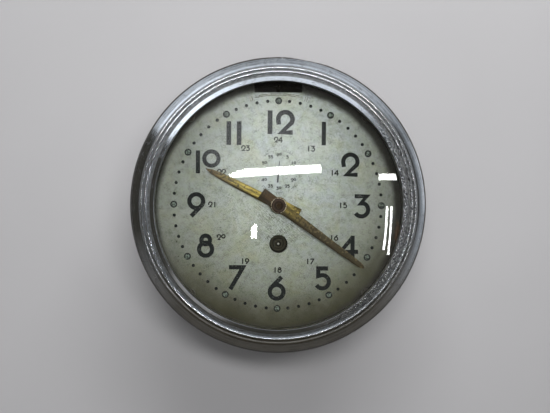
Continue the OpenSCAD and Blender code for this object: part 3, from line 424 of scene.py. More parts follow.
brass_pale, brass_dark, brass_brown = colour(222, 192, 128), colour(176, 142, 78), colour(96, 70, 38)
plate_brass = metal("plate_brass", brass_pale, brass_dark, 0.34, tarnish=0.4, tarnished=brass_brown)
dress(plate_brass, "back_plate", "front_plate", "balance_cock", "minute_wheel_post")
# Painted shade: the dial seat ring and the regulator index are painted near black, for the shade in the notch.
notch_shade_black = metal(
    "notch_shade_black", colour(40, 37, 32), colour(24, 22, 19), 0.5, centre=(0, 0, 0), lines=3, depth=0.02,
    tarnished=colour(18, 15, 12), wear=0.0)
dress(notch_shade_black, "dial_seat_ring", "regulator_index")
pillar_brass = metal("pillar_brass", brass_pale, brass_dark, 0.28, lines=7, tarnish=0.3, tarnished=brass_brown)
dress(pillar_brass, "pillars", "dial_feet")
screw_blue = metal("screw_blue", colour(92, 104, 148), colour(38, 46, 86), 0.3, lines=6, tarnish=0.3, wear=0.35)
dress(screw_blue, "pillar_screws", "dial_foot_screws", "balance_cock_screws", "click_spring_screw", "click_screw")


# The winding work: a toothed brass barrel with its cap, the mainspring coiled in it, and a steel winding arbor that
# carries the ratchet, its washer, the click and the click's spring.
def centre_of(name):
    """The middle of a carried-over node in millimetres."""
    low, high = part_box(name)
    return tuple((low + high) / 2 / mm)


wheel_pale, wheel_dark = colour(226, 198, 132), colour(186, 152, 84)
steel_pale, steel_dark, steel_rust = colour(206, 206, 208), colour(138, 138, 142), colour(112, 82, 58)
barrel_brass = metal("barrel_brass", wheel_pale, wheel_dark, 0.3, centre_of("barrel"), lines=3, depth=0.02,
                     tarnish=0.4, tarnished=brass_brown)
dress(barrel_brass, "barrel", "barrel_cap")
winding_steel, shader, place = finish_of("winding_steel", metallic=0.8, roughness=0.42)
from_axis = use(turning_marks, "Radius", Place=place, Centre=centre_of("barrel"))
marks = use(turning_marks, "Line", Place=place, Centre=centre_of("barrel"), Lines_Per_mm=3.0)
# Painted shade: the steel is dark, with darker rings round the barrel's axis, as seen down the winding hole.
shade = mixed(marks, colour(38, 36, 28), colour(74, 72, 56))
for ring, half, depth in ((1.15, 0.6, 0.85), (2.75, 0.45, 0.7), (4.5, 0.55, 0.95)):
    shade = mixed(near(from_axis, ring, half, 0.3, depth), shade, colour(14, 14, 10))
# Painted glint: a small pale, non-metal spot at the middle of the arbor's end.
painted_glint = share(from_axis, 0.62, 0.3)
fill(shader, Base_Color=mixed(painted_glint, shade, colour(190, 190, 180)),
     Metallic=share(painted_glint, 0, 1, 0.8, 0))
raise_surface(shader, marks, 0.02)
dress(winding_steel, "winding_arbor", "ratchet_wheel", "ratchet_washer", "click")
spring_blue = metal("spring_blue", colour(88, 98, 140), colour(40, 48, 84), 0.35, lines=5, tarnish=0.2, wear=0.3)
dress(spring_blue, "mainspring", "click_spring", "hairspring", "centre_friction_spring")


# The going train: brass wheels with cut teeth and crossed-out arms, each on a polished steel arbor with its pinion
# cut from the same rod.
arbor_steel = metal("arbor_steel", steel_pale, steel_dark, 0.2, lines=8, depth=0.006, tarnish=0.15)
dress(arbor_steel, "intermediate_arbor", "third_arbor", "fourth_arbor", "escape_arbor")
for wheel in ("intermediate_wheel", "centre_wheel", "third_wheel", "fourth_wheel", "escape_wheel", "hour_wheel",
              "minute_wheel"):
    cut_brass = metal(wheel + "_brass", wheel_pale, wheel_dark, 0.28, centre_of(wheel), lines=5, depth=0.01,
                      tarnish=0.3, tarnished=brass_brown)
    dress(cut_brass, wheel)


# The escapement and balance: a steel lever between two banking pins, a brass balance with steel timing screws on a
# polished staff, a blued hairspring pinned to a stud, red jewels in the cock and plate, and a steel regulator.
lever_steel = metal("lever_steel", steel_pale, steel_dark, 0.18, lines=6, depth=0.005, tarnish=0.15)
dress(lever_steel, "pallet_lever", "balance_staff", "banking_pins", "hairspring_stud", "balance_screws")
balance_brass = metal(
    "balance_brass", brass_pale, brass_dark, 0.22, centre_of("balance_wheel"), lines=6, depth=0.008, tarnish=0.2,
    tarnished=brass_brown)
dress(balance_brass, "balance_wheel")
ruby, shader, place = finish_of("ruby", roughness=0.08, Transmission_Weight=0.5, IOR=1.76)
fill(shader, Base_Color=mixed(cloud(place, 1.5, 3), colour(168, 16, 44), colour(214, 44, 84)))
dress(ruby, "balance_jewels")


# The dial: a flat brass plate, silvered and lacquered, with a notch at the top for the regulator. The lacquer has
# yellowed, is scratched round the hands and the winding hole, and has one rust spot. Painted shade darkens it toward
# the bottom, the sides and the rim, and a painted shadow of the bezel lies inside the rim at the top right.
def about_z(place, angle):
    """A place turned about Z."""
    return add("VectorRotate", Vector=place, Angle=angle, rotation_type="Z_AXIS").outputs[0]


scratches, given, result = group_of("scratches", ["Scratch"], Turn=0.0, Amount=0.5)
turned_place = about_z(given["Place"], given["Turn"])
drawn_out = stretched(turned_place, (0.34, 3.1, 1))
thread = cloud(drawn_out, 1.0, 3.0, 0.6, 0.9)
edge = sum_of("SUBTRACT", 0.85, times(given["Amount"], 0.25))
give(result["Scratch"], share(thread, edge, sum_of("ADD", edge, 0.05)))

dial_middle = (0, 0, 43)
dial_silver, shader, place = finish_of("dial_silver", roughness=0.4)
radius = use(turning_marks, "Radius", Place=place, Centre=dial_middle)
lines = use(turning_marks, "Line", Place=place, Centre=dial_middle, Lines_Per_mm=2.5)
parts = add("SeparateXYZ", place)
shade = mixed(cloud(place, 0.03, 3), colour(184, 191, 184), colour(202, 206, 200))
yellowed = share(cloud(place, 0.06, 6, 0.6, 1.2), 0.46, 0.68, 0, 0.6)
bluish = share(cloud(place, 0.045, 4, 0.5, 0.6), 0.6, 0.42, 0, 0.45)
greenish = share(cloud(place, 0.21, 4, 0.7), 0.4, 0.64, 0, 0.4)
mottled = share(cloud(place, 0.5, 6, 0.75), 0.45, 0.75, 0, 0.5)
# Painted shade: darker toward the bottom.
lower_shade = share(ramp(parts.outputs["X"], -0.1, parts.outputs["Y"]), 12, -60)
# Painted shade: darker toward the left and right sides.
aside = ramp(cloud(place, 0.05, 5), 10, away_from(parts.outputs["X"], 4))
# Painted shade: darker toward the rim, most at the bottom.
toward_rim = ramp(cloud(place, 0.07, 5), 16, radius)
rim_shade = times(share(toward_rim, 48, 72), ramp(lower_shade, 0.75, 0.15))
# Painted shadow of the bezel: a dark, dull ring inside the dial's rim, widest toward the upper right.
upper_right = along(place, (0.02, 0.03, 0))
rim_shadow_place = sum_of("ADD", ramp(cloud(place, 0.15, 4), 3, radius), upper_right)
painted_rim_shadow = share(rim_shadow_place, 60.8, 64.4, 0, 0.95)
flecks = use(specks, "Specks", Place=place, Size=0.36, Amount=0.82)
pepper_place = add("VectorMath", place, (40, 9, 0), operation="ADD").outputs[0]
pepper = use(specks, "Specks", Place=pepper_place, Size=0.5, Amount=0.62)
spots = use(specks, "Specks", Place=place, Size=0.9, Amount=0.56)
lower_left = share(along(place, (-0.6, -0.8, 0)), 5, 45)
rust_distance = distance(stretched(place, (1.5, 0.4, 0)), (93.2, -6.2, 0))
rust = share(ramp(cloud(place, 0.5, 5), 4.0, rust_distance), 5.4, 3.2, 0, 0.8)
rust_shade = mixed(cloud(place, 1.2, 3), colour(50, 36, 22), colour(100, 70, 42))
near_hub = share(distance(place, (0, -9, 43)), 17, 7)
# The dial's layers: stains, specks, rust and scratches, with the painted shade and the painted shadow of the bezel.
stains_and_shade = [
    (yellowed, colour(178, 178, 144)), (bluish, colour(174, 184, 194)), (greenish, colour(172, 186, 156)),
    (mottled, colour(126, 132, 116)), (times(lower_shade, 0.7), colour(104, 104, 80)),
    (share(aside, 12, 58, 0, 0.56), colour(112, 114, 100)), (rim_shade, colour(66, 62, 44)),
    (painted_rim_shadow, colour(28, 24, 18)), (times(flecks, 0.45), colour(70, 72, 60)),
    (times(pepper, 0.6), colour(52, 56, 44)), (times(spots, lower_left), colour(58, 56, 40)),
    (rust, rust_shade)]
for turn, much in ((0.78, 1.2), (-0.72, 1.1), (0.3, 0.95)):
    cut = use(scratches, "Scratch", Place=place, Turn=turn, Amount=much)
    stains_and_shade.append((times(cut, ramp(near_hub, 0.6, 0.14)), colour(62, 64, 52)))
silvered = share(cloud(place, 0.05, 3), 0.3, 0.7, 0.84, 0.92)
rough = share(cloud(place, 0.25, 5), 0.3, 0.7, 0.32, 0.38)
fill(shader, Base_Color=layered(shade, *stains_and_shade),
     Metallic=times(silvered, sum_of("SUBTRACT", 1, painted_rim_shadow)), Roughness=ramp(painted_rim_shadow, 0.3, rough))
raise_surface(shader, ramp(lines, 0.4, cloud(place, 2.5, 4)), 0.02)
dress(dial_silver, "dial")

dark_screw = metal(
    "dark_screw", colour(104, 102, 94), colour(48, 46, 40), 0.4, lines=5, tarnish=0.6, tarnished=colour(58, 44, 30))
dress(dark_screw, "dial_screws")


# The printing on the dial: large open figures for the hours, a small ring of 13 to 24 inside them, a dot for each
# minute, a ring of decayed paint for every fifth, and a small dial of seconds. It is worn through in specks.
print_low, print_high = 42.99 * mm, 43.05 * mm
print_turn = math.radians(-0.45)
print_shift = (-0.3 * mm, 0.25 * mm, 0)


def arc(middle, radius, start, end, count):
    """Points on an arc, in degrees from the right, anticlockwise where end is the larger."""
    angles = [math.radians(start + (end - start) * i / count) for i in range(count + 1)]
    return [(middle[0] + radius * math.cos(a), middle[1] + radius * math.sin(a)) for a in angles]


def on_ring(middle, radius, degrees):
    """A point on a ring, in degrees clockwise from the top."""
    angle = math.radians(degrees)
    return middle[0] + radius * math.sin(angle), middle[1] + radius * math.cos(angle)


def in_metres(points):
    """Points given in millimetres, in metres."""
    return [(x * mm, y * mm) for x, y in points]


figures = {
    "0": [(arc((0, 0.137), 0.29, 0, 360, 32), True)],
    "1": [([(0, -0.48), (0, 0.48)], False)],
    "2": [([(-0.26, -0.09)] + arc((0, 0.125), 0.29, 185, -28, 18) + [(-0.15, -0.405), (0.3, -0.405)], False)],
    "3": [([(-0.31, 0.41), (0.19, 0.41), (-0.07, 0.11)] + arc((-0.03, -0.135), 0.275, 70, -148, 18), False)],
    "4": [([(0.13, 0.41), (-0.36, -0.17), (0.36, -0.17)], False), ([(0.13, 0.49), (0.13, -0.49)], False)],
    "5": [([(0.21, 0.41), (-0.19, 0.41), (-0.19, 0.1)] + arc((-0.02, -0.135), 0.27, 108, -150, 18), False)],
    "6": [(arc((0, -0.13), 0.28, 0, 360, 32), True), ([(0.2, 0.48), (-0.2, 0.065)], False)],
    "7": [([(-0.3, 0.41), (0.27, 0.41), (-0.24, -0.49)], False)],
    "8": [(arc((0, 0.235), 0.175, 0, 360, 28), True), (arc((0, -0.14), 0.265, 0, 360, 32), True)],
    "9": [(arc((0, 0.13), 0.28, 0, 360, 32), True), ([(-0.2, -0.48), (0.2, -0.065)], False)],
}


def lay_band(band, path, closed, width):
    """Adds a flat printed band along a path in millimetres to a mesh, with mitred corners."""
    path = in_metres(path[:-1] if closed else path)
    count = len(path)
    rows = []
    for i, point in enumerate(path):
        here = Vector(point)
        before = Vector(path[i - 1]) if closed or i else None
        after = Vector(path[(i + 1) % count]) if closed or i < count - 1 else None
        ways = [w.normalized() for w in ((here - before) if before else None, (after - here) if after else None) if w]
        sides = [Vector((-w.y, w.x)) for w in ways]
        side = (sides[0] + sides[-1]).normalized()
        side *= width * mm / 2 / max(side.dot(sides[0]), 0.5)
        rows.append([band.verts.new((*(here + side * s), z)) for s, z in
                     ((1, print_low), (-1, print_low), (-1, print_high), (1, print_high))])
    for i in range(count if closed else count - 1):
        a, b = rows[i], rows[(i + 1) % count]
        for k in range(4):
            band.faces.new((a[k], b[k], b[(k + 1) % 4], a[(k + 1) % 4]))
    if not closed:
        band.faces.new(rows[0])
        band.faces.new(reversed(rows[-1]))


def made_object(name, shape):
    """An object from a mesh under construction, its faces turned outwards."""
    bmesh.ops.recalc_face_normals(shape, faces=shape.faces)
    mesh = bpy.data.meshes.new(name)
    shape.to_mesh(mesh)
    shape.free()
    return placed(name, mesh)


def bake(piece):
    """Works a piece's modifiers into its mesh."""
    mesh = bpy.data.meshes.new_from_object(piece.evaluated_get(bpy.context.evaluated_depsgraph_get()))
    piece.modifiers.clear()
    piece.data = mesh


def shaped(target, tool, operation):
    """Joins a tool to a piece or cuts it away, and takes the tool off the bench."""
    step = target.modifiers.new("shape", "BOOLEAN")
    step.object, step.operation, step.solver = tool, operation, "EXACT"
    bake(target)
    bpy.data.objects.remove(tool)


def lay_on_dial(piece, material):
    """Lays a printed piece on the dial, where the printing sits a little off the middle."""
    piece.location, piece.rotation_euler.z = print_shift, print_turn
    coat(piece, material)
    bpy.context.view_layer.update()
    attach(piece, "case")


def printed(name, lines, material):
    """A printed piece on the dial from first strokes and the second strokes that cross them."""
    layers = []
    for number in (0, 1):
        band = bmesh.new()
        for strokes in lines:
            if len(strokes) > number:
                path, closed, width = strokes[number]
                lay_band(band, path, closed, width)
        if band.faces:
            layers.append(made_object(name, band))
        else:
            band.free()
    if len(layers) == 2:
        shaped(layers[0], layers[1], "UNION")
    lay_on_dial(layers[0], material)


def figure_strokes(text, middle, height, stroke, gap):
    """The strokes of a number, centred on a point, with its digits a gap apart."""
    out = []
    for k, digit in enumerate(text):
        across = middle[0] + (k - (len(text) - 1) / 2) * gap
        digit_strokes = []
        for path, closed in figures[digit]:
            digit_strokes.append(([(across + x * height, middle[1] + y * height) for x, y in path], closed, stroke))
        out.append(digit_strokes)
    return out


def print_finish(name, ink, ground, worn, rubbed_off=0.0):
    """Printing ink on the dial, worn through to the silvering in specks."""
    material, shader, place = finish_of(name, roughness=0.6, Specular_IOR_Level=0.2)
    gone = use(specks, "Specks", Place=place, Size=0.4, Amount=worn)
    if rubbed_off:
        level = 0.56 - 0.12 * rubbed_off
        gone = higher(gone, share(cloud(place, 0.28, 5, 0.65), level, level + 0.02))
    tone = mixed(cloud(place, 0.6, 4), ink, toned(ink, 1.5))
    fill(shader, Base_Color=mixed(gone, tone, ground))
    raise_surface(shader, cloud(place, 4, 3), 0.01)
    return material


dial_ground = colour(134, 138, 130)
hour_ink = print_finish("hour_ink", colour(12, 15, 16), dial_ground, 0.6)
small_ink = print_finish("small_ink", colour(16, 18, 15), dial_ground, 0.52)
dot_per_mm = 1.926
hour_places = {
    "12": (2.75, 82.1), "1": (45.2, 71.4), "2": (71.95, 40.6), "3": (84.2, -0.8), "4": (71.75, -42.1),
    "5": (45.5, -73.1), "6": (-0.55, -83.5), "7": (-40.9, -72.4), "8": (-71.6, -41.1), "9": (-81.15, 0),
    "10": (-69.65, 42.2), "11": (-44.15, 71)}
split_hours = {"12": (("1", -5.8, 12.7, 2.5), ("2", 2.1, 12.7, 2.4)),
               "10": (("1", -5.2, 12.3, 2.2), ("0", 1.7, 12.7, 2.1))}
hour_lines = []
for text, (right, up) in hour_places.items():
    whole = ((text, 0, 12.7, 2.4 if text == "11" else 2.2),)
    for digits, aside, height, stroke in split_hours.get(text, whole):
        hour_lines += figure_strokes(digits, (right / dot_per_mm + aside, up / dot_per_mm), height, stroke, 5.3)
printed("hour_figures", hour_lines, hour_ink)

small_ring, seconds_middle, seconds_figures, seconds_circle = 33.7, (0.44, 17.3), 8.7, 10.9
small_lines = []
for hour in range(1, 13):
    middle = on_ring((0, 0), small_ring, 30 * hour)
    small_lines += figure_strokes(str(hour + 12), middle, height=3.0, stroke=0.62, gap=2.3)
for mark in range(1, 13):
    middle = on_ring(seconds_middle, seconds_figures, 30 * mark)
    small_lines += figure_strokes(str(mark * 5), middle, height=1.7, stroke=0.42, gap=1.35)
printed("small_figures", small_lines, small_ink)

circle_line, mark_line, end_line, arc_line = 0.16, 0.2, 0.32, 0.3
track_lines = [[(arc(seconds_middle, seconds_circle, 0, 360, 120), True, circle_line)]]
for mark in range(60):
    reach = (11.15, 12.0 if mark % 5 else 12.5)
    track_lines.append([([on_ring(seconds_middle, r, 6 * mark) for r in reach], False, mark_line)])
printed("tracks", track_lines, print_finish("track_ink", colour(44, 46, 40), colour(168, 172, 164), 0.62, 0.7))

scale_lines = []
for degrees in (-15, -14, 14, 15):
    scale_lines.append([([on_ring((0, 0), r, degrees) for r in (55.3, 57.6)], False, end_line)])
for radius, half_angle in ((56.6, 12.5), (57.3, 10.5)):
    scale_lines.append([(arc((0.2, 0), radius, 90 + half_angle, 90 - half_angle, 24), False, arc_line)])
scale_ink = print_finish("scale_ink", colour(74, 62, 48), colour(150, 146, 132), 0.56, 0.35)
printed("regulator_scale", scale_lines, scale_ink)


def disc(shape, middle, radius, sides, uv):
    """Adds a thin printed dot, with a map that runs from its own middle."""
    corners = in_metres(arc(middle, radius, 0, 360, sides)[:-1])
    rows = [[shape.verts.new((*corner, z)) for corner in corners] for z in (print_low, print_high)]
    faces = [shape.faces.new(rows[1]), shape.faces.new(reversed(rows[0]))]
    for k in range(sides):
        faces.append(shape.faces.new((rows[0][k], rows[0][(k + 1) % sides], rows[1][(k + 1) % sides], rows[1][k])))
    for face in faces:
        for loop in face.loops:
            loop[uv].uv = ((loop.vert.co.x / mm - middle[0]) / radius, (loop.vert.co.y / mm - middle[1]) / radius)


dots, rings = bmesh.new(), bmesh.new()
dot_map, ring_map = dots.loops.layers.uv.new("from_middle"), rings.loops.layers.uv.new("from_middle")
minute_circle, dot_radius, ring_radius = 53.7, 0.85, 1.8
for minute in range(60):
    middle = on_ring((0, 0), minute_circle, 6 * minute)
    if minute % 5:
        disc(dots, middle, dot_radius, 16, dot_map)
    else:
        disc(rings, middle, ring_radius, 32, ring_map)

ring_paint, shader, place = finish_of("ring_paint", roughness=0.8)
from_middle = add("UVMap", home=shader.id_data, uv_map="from_middle").outputs[0]
reach = add("VectorMath", from_middle, operation="LENGTH").outputs["Value"]
crumbled = cloud(place, 1.1, 4, 0.7)
outline = share(ramp(crumbled, 0.5, reach), 0.82, 0.9)
broken = share(cloud(place, 0.7, 3, 0.6), 0.68, 0.58)
crumbs = share(cloud(place, 1.0, 4, 0.7), 0.49, 0.54)
shade = mixed(cloud(place, 0.5, 3), colour(98, 118, 112), colour(128, 134, 118))
fill(shader, Base_Color=layered(
    shade, (times(crumbs, 0.95), colour(18, 24, 20)), (times(outline, broken), colour(18, 22, 20))))
raise_surface(shader, crumbled, 0.1)
for name, shape, material in (("minute_dots", dots, hour_ink), ("five_minute_rings", rings, ring_paint)):
    lay_on_dial(made_object(name, shape), material)


# The hands: stamped brass, the hour hand gilt and gone mustard, the longer minute hand over it dull brown, each with
# a pressed hub. The seconds hand is a thin blued needle on the small dial.
def smooth_by_angle(piece, degrees):
    """Shades a piece smooth and keeps its corners sharp."""
    shape = bmesh.new()
    shape.from_mesh(piece.data)
    for face in shape.faces:
        face.smooth = True
    for edge in shape.edges:
        edge.smooth = len(edge.link_faces) == 2 and edge.calc_face_angle(0) < math.radians(degrees)
    shape.to_mesh(piece.data)
    shape.free()


def prism(outline, low, high):
    """A mesh under construction: a flat outline in millimetres, raised between two heights."""
    shape = bmesh.new()
    bottom, top = ([shape.verts.new((x, y, z * mm)) for x, y in in_metres(outline)] for z in (low, high))
    shape.faces.new(reversed(bottom))
    shape.faces.new(top)
    for k in range(len(outline)):
        after = (k + 1) % len(outline)
        shape.faces.new((bottom[k], bottom[after], top[after], top[k]))
    return shape


def round_plug(radius, low, high):
    """A round bar in millimetres, standing on the axis."""
    return prism(arc((0, 0), radius, 0, 360, 64)[:-1], low, high)


def soft_corners(piece, width):
    """Breaks the sharp edges of a piece as filing and plating do."""
    step = piece.modifiers.new("soft_corners", "BEVEL")
    step.width, step.segments, step.limit_method = width * mm, 2, "ANGLE"
    step.angle_limit = math.radians(32)
    step.use_clamp_overlap = True
    bake(piece)
    smooth_by_angle(piece, 40)


def make_hand(name, half_outline, blade, hub_radius, hub, bore, edge):
    """A hand pointing along Y from a half outline, with a hub and a bore."""
    outline = half_outline + [(-x, y) for x, y in reversed(half_outline) if x > 0]
    hand = made_object(name, prism(outline, *blade))
    shaped(hand, made_object("hub", round_plug(hub_radius, *hub)), "UNION")
    if bore:
        shaped(hand, made_object("bore", round_plug(bore, hub[0] - 1, hub[1] + 1)), "DIFFERENCE")
    soft_corners(hand, edge)
    return hand


def set_hand(hand, node, place, degrees, material, body):
    """Puts a hand on its arbor, turned clockwise from twelve, and lets it ride there."""
    hand.location = (place[0] * mm, place[1] * mm, 0)
    hand.rotation_euler.z = -math.radians(degrees)
    coat(hand, material)
    bpy.context.view_layer.update()
    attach(hand, body)
    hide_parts(node)


def hand_finish(name, gilt, brown, from_tip, dullness, shaded_side, tail):
    """Gilt brass turned brown in streaks and from a distance along the hand, with painted shade along one edge."""
    material, shader, place = finish_of(name, metallic=0.55, roughness=0.42)
    parts = add("SeparateXYZ", place)
    grain = use(brushed_grain, "Grain", Place=about_z(place, 1.57), Lines_Per_mm=3.0)
    long_way = stretched(place, (1.0, 0.09, 1.0))
    bright = share(cloud(long_way, 0.9, 4, 0.65), 0.42, 0.66)
    blotch = cloud(place, 0.22, 5, warp=0.5)
    to_tip = share(ramp(blotch, 14, parts.outputs["Y"]), from_tip, from_tip + 16)
    browned = higher(to_tip, share(blotch, 0.7 - 0.35 * dullness, 0.85 - 0.3 * dullness))
    on_tail = share(ramp(blotch, 2, parts.outputs["Y"]), 0, -3, 0, tail)
    threads = share(cloud(long_way, 2.4, 4, 0.7), 0.45, 0.62)
    # Painted shade: one long edge of the hand is darkened.
    to_shaded_edge = ramp(blotch, 0.9, times(parts.outputs["X"], shaded_side))
    rubbed = use(edge_wear, "Worn", Place=place, Amount=0.36, Patch_Scale=0.8)
    shade = layered(
        mixed(bright, toned(gilt, 0.36), gilt), (browned, brown), (on_tail, colour(72, 52, 36)),
        (times(threads, 0.45), toned(brown, 0.2)), (share(to_shaded_edge, 1.1, 2.0, 0, 0.85), toned(brown, 0.16)),
        (times(rubbed, 0.8), toned(brown, 0.25)))
    fill(shader, Base_Color=shade, Roughness=ramp(browned, 0.15, 0.36))
    raise_surface(shader, sum_of("ADD", grain, blotch), 0.03)
    return material


hour_hand = make_hand(
    "hour_hand_blade", [(3.6, -11.6), (3.6, 0), (2.35, 5), (2.1, 25), (1.65, 34), (1.15, 38.8), (0, 42.2)],
    blade=(44.6, 45.4), hub_radius=4.4, hub=(44.3, 45.4), bore=3.1, edge=0.22)
minute_hand = make_hand(
    "minute_hand_blade", [(3, -10.9), (3, 0), (2.6, 6), (1.8, 39), (1.4, 51.5), (0.8, 53.7), (0, 54.5)],
    blade=(46.4, 47.2), hub_radius=4.2, hub=(46.0, 47.2), bore=2, edge=0.22)
seconds_hand = make_hand(
    "seconds_hand_needle", [(0.4, -5.2), (0.35, 0), (0.18, 5.9)],
    blade=(43.5, 43.8), hub_radius=1, hub=(43.1, 44.1), bore=None, edge=0.06)
hour_gilt = hand_finish(
    "hour_gilt", colour(206, 184, 92), colour(104, 88, 54), from_tip=29, dullness=0.1, shaded_side=-1, tail=0.0)
minute_brown = hand_finish(
    "minute_brown", colour(128, 112, 52), colour(98, 86, 58), from_tip=12, dullness=0.5, shaded_side=1, tail=0.85)
needle_blue = metal("needle_blue", colour(54, 56, 66), colour(26, 28, 36), 0.35, lines=5, tarnish=0.3)
set_hand(hour_hand, "hour_hand", (0, 0), 297, hour_gilt, "hour_group")
set_hand(minute_hand, "minute_hand", (0, 0), 126.2, minute_brown, "minute_group")
set_hand(seconds_hand, "seconds_hand", (0, 17), 5, needle_blue, "seconds_group")


# The nut that holds the hands: a small round brass nut with a milled edge and a slight dome, browned all over, with
# the square end of the centre arbor standing in it.
def turned(name, profile, steps, milling=None):
    """A piece turned from a closed profile of radius and height in millimetres. Milling moves a radius by angle."""
    shape = bmesh.new()
    rings = []
    for radius, height in profile:
        if radius < 1e-6:
            rings.append([shape.verts.new((0, 0, height * mm))] * steps)
            continue
        ring = []
        for k in range(steps):
            angle = 2 * math.pi * k / steps
            r = radius + (milling(radius, height, angle) if milling else 0)
            ring.append(shape.verts.new((r * math.cos(angle) * mm, r * math.sin(angle) * mm, height * mm)))
        rings.append(ring)
    for a, b in zip(rings, rings[1:] + rings[:1]):
        for k in range(steps):
            after = (k + 1) % steps
            corners = list(dict.fromkeys((a[k], a[after], b[after], b[k])))
            if len(corners) > 2:
                shape.faces.new(corners)
    return made_object(name, shape)


def milled(radius, height, angle):
    """Thirty shallow teeth on the nut's rim."""
    return -0.22 * (0.5 + 0.5 * math.cos(30 * angle)) if radius > 3.8 else 0


nut_profile = [
    (1.75, 47.2), (3.75, 47.2), (4.0, 47.35), (4.05, 47.6), (4.05, 48.15), (3.9, 48.4), (3.5, 48.58), (2.8, 48.68),
    (2.3, 48.7), (2.1, 48.62), (1.75, 48.45)]
nut = turned("hand_nut_milled", nut_profile, 240, milled)
smooth_by_angle(nut, 35)
nut_brown, shader, place = finish_of("nut_brown", metallic=0.3, roughness=0.5)
rings_cut = use(turning_marks, "Line", Place=place, Lines_Per_mm=3.0)
shade = mixed(cloud(place, 1.2, 5), colour(38, 27, 18), colour(78, 54, 34))
from_axis = use(turning_marks, "Radius", Place=place)
# Painted highlight: a broken bright line round the top of the rim.
painted_rim_highlight = share(from_axis, 3.6, 3.75)
bright = times(painted_rim_highlight, share(cloud(place, 1.1, 3), 0.42, 0.54, 0.05, 0.95))
shade = mixed(bright, shade, colour(244, 232, 200))
# Painted shade: two dark rings, inside the rim and round the bore.
for ring, half in ((3.3, 0.3), (2.0, 0.5)):
    shade = mixed(near(from_axis, ring, half, 0.4, 0.9), shade, colour(16, 11, 8))
fill(shader, Base_Color=shade, Roughness=share(rings_cut, 0.3, 0.7, 0.3, 0.5))
raise_surface(shader, rings_cut, 0.06)
coat(nut, nut_brown)
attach(nut, "minute_group")
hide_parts("hand_nut")
centre_steel = metal("centre_steel", colour(86, 72, 56), colour(40, 30, 22), 0.45, lines=6, tarnish=0.7,
                     tarnished=colour(36, 26, 18), wear=0.1)
dress(centre_steel, "centre_arbor", "cannon_pinion")


# The hinge under the rim and the spring catch across from it: bent plated strip, riveted to the case and soldered to
# the bezel, with a steel pin through the knuckles.
strip_plate = metal("strip_plate", colour(186, 184, 180), colour(120, 118, 112), 0.35, lines=4, tarnish=0.5,
                    tarnished=colour(84, 74, 58))
dress(strip_plate, "hinge_case_leaf", "hinge_leaf_rivets", "catch_spring", "catch_rivets", "hinge_bezel_leaf",
      "glass_ring")
pin_steel = metal("pin_steel", steel_pale, steel_dark, 0.3, lines=6, tarnish=0.5, tarnished=steel_rust)
dress(pin_steel, "hinge_pin")


# The bezel: a brass ring turned in one piece and chromium plated, with a polished inner slope, a hollow, two beads
# and a broad band. Dirt lies in the hollow and grooves, and the edge over the hinge is nibbled. Painted shade darkens
# the lower side, the opening's inner wall and the outer edge; painted highlights brighten the beads at the top.
open_r, bezel_r, bezel_top, rim_z, seat_z, skirt_z, skirt_in = 62.7, 76.0, 55.0, 47.0, 45.0, 43.0, 72.4
glass_ring_r, glass_r, glass_rim_top, glass_t = 65.3, 64.3, 52.95, 2.4
bead_1, bead_2, band_in, band_out, band_bow = 67.4, 69.6, 70.9, 75.15, 14.1


def swell(start, end, radius, count):
    """Points on a shallow arc that bulges to the left of the line from start to end."""
    start, end = Vector(start), Vector(end)
    half, across = (end - start) / 2, Vector((start.y - end.y, end.x - start.x)).normalized()
    middle = start + half - across * math.sqrt(radius**2 - half.length_squared)
    first, last = (math.degrees(math.atan2(p.y - middle.y, p.x - middle.x)) for p in (start, end))
    return arc(middle, radius, first, last + 360 * round((first - last) / 360), count)


band_side = swell((band_in + 0.185, bezel_top - 4.22), (band_out - 0.05, rim_z + 1.54), band_bow, 10)
bezel_profile = [
    (glass_ring_r, seat_z), (skirt_in, seat_z), (skirt_in, skirt_z), (bezel_r - 0.3, skirt_z),
    (bezel_r - 0.09, skirt_z + 0.09), (bezel_r, skirt_z + 0.3), (bezel_r, rim_z), (bezel_r - 0.07, rim_z + 0.45),
    (bezel_r - 0.25, rim_z + 0.8), (bezel_r - 0.5, rim_z + 1.2), (band_out, rim_z + 1.55)]
bezel_profile += band_side[::-1]
bezel_profile += [(band_in - 0.15, bezel_top - 3.1)]
bezel_profile += arc((bead_2, bezel_top - 2.7), 0.5, -10, 190, 12)
bezel_profile += [(open_r + 5.8, bezel_top - 2.5)]
bezel_profile += arc((bead_1, bezel_top - 1.3), 0.55, -30, 205, 14)
inner_slope = ((3.6, 1.35), (3.25, 1.2), (2.9, 1.05), (2.6, 0.8), (2.3, 0.62), (1.2, 0.3), (0.15, 0), (0, 0.15))
bezel_profile += [(open_r + out, bezel_top - down) for out, down in inner_slope]
bezel_profile += [
    (open_r, glass_rim_top + 0.35), (glass_r + 0.1, glass_rim_top + 0.04), (glass_r + 0.1, glass_rim_top - glass_t),
    (glass_ring_r, glass_rim_top - glass_t)]
nibbled_from, nibbled_to, nibbled_depth = -6, 27, 0.55


def nibbled(radius, height, angle):
    """Dents bitten into the bezel's outer edge near the hinge."""
    clockwise = (90 - math.degrees(angle) + 180) % 360 - 180
    if radius < 74.6 or height > 48.6 or not nibbled_from < clockwise < nibbled_to:
        return 0
    fade = min(1, (clockwise - nibbled_from) / 6, (nibbled_to - clockwise) / 6)
    bite = noise.noise(Vector((clockwise * 1.3, height * 0.7, 0)))
    bite += 0.6 * noise.noise(Vector((clockwise * 3.1, height, 9)))
    return -nibbled_depth * fade * max(0, bite)


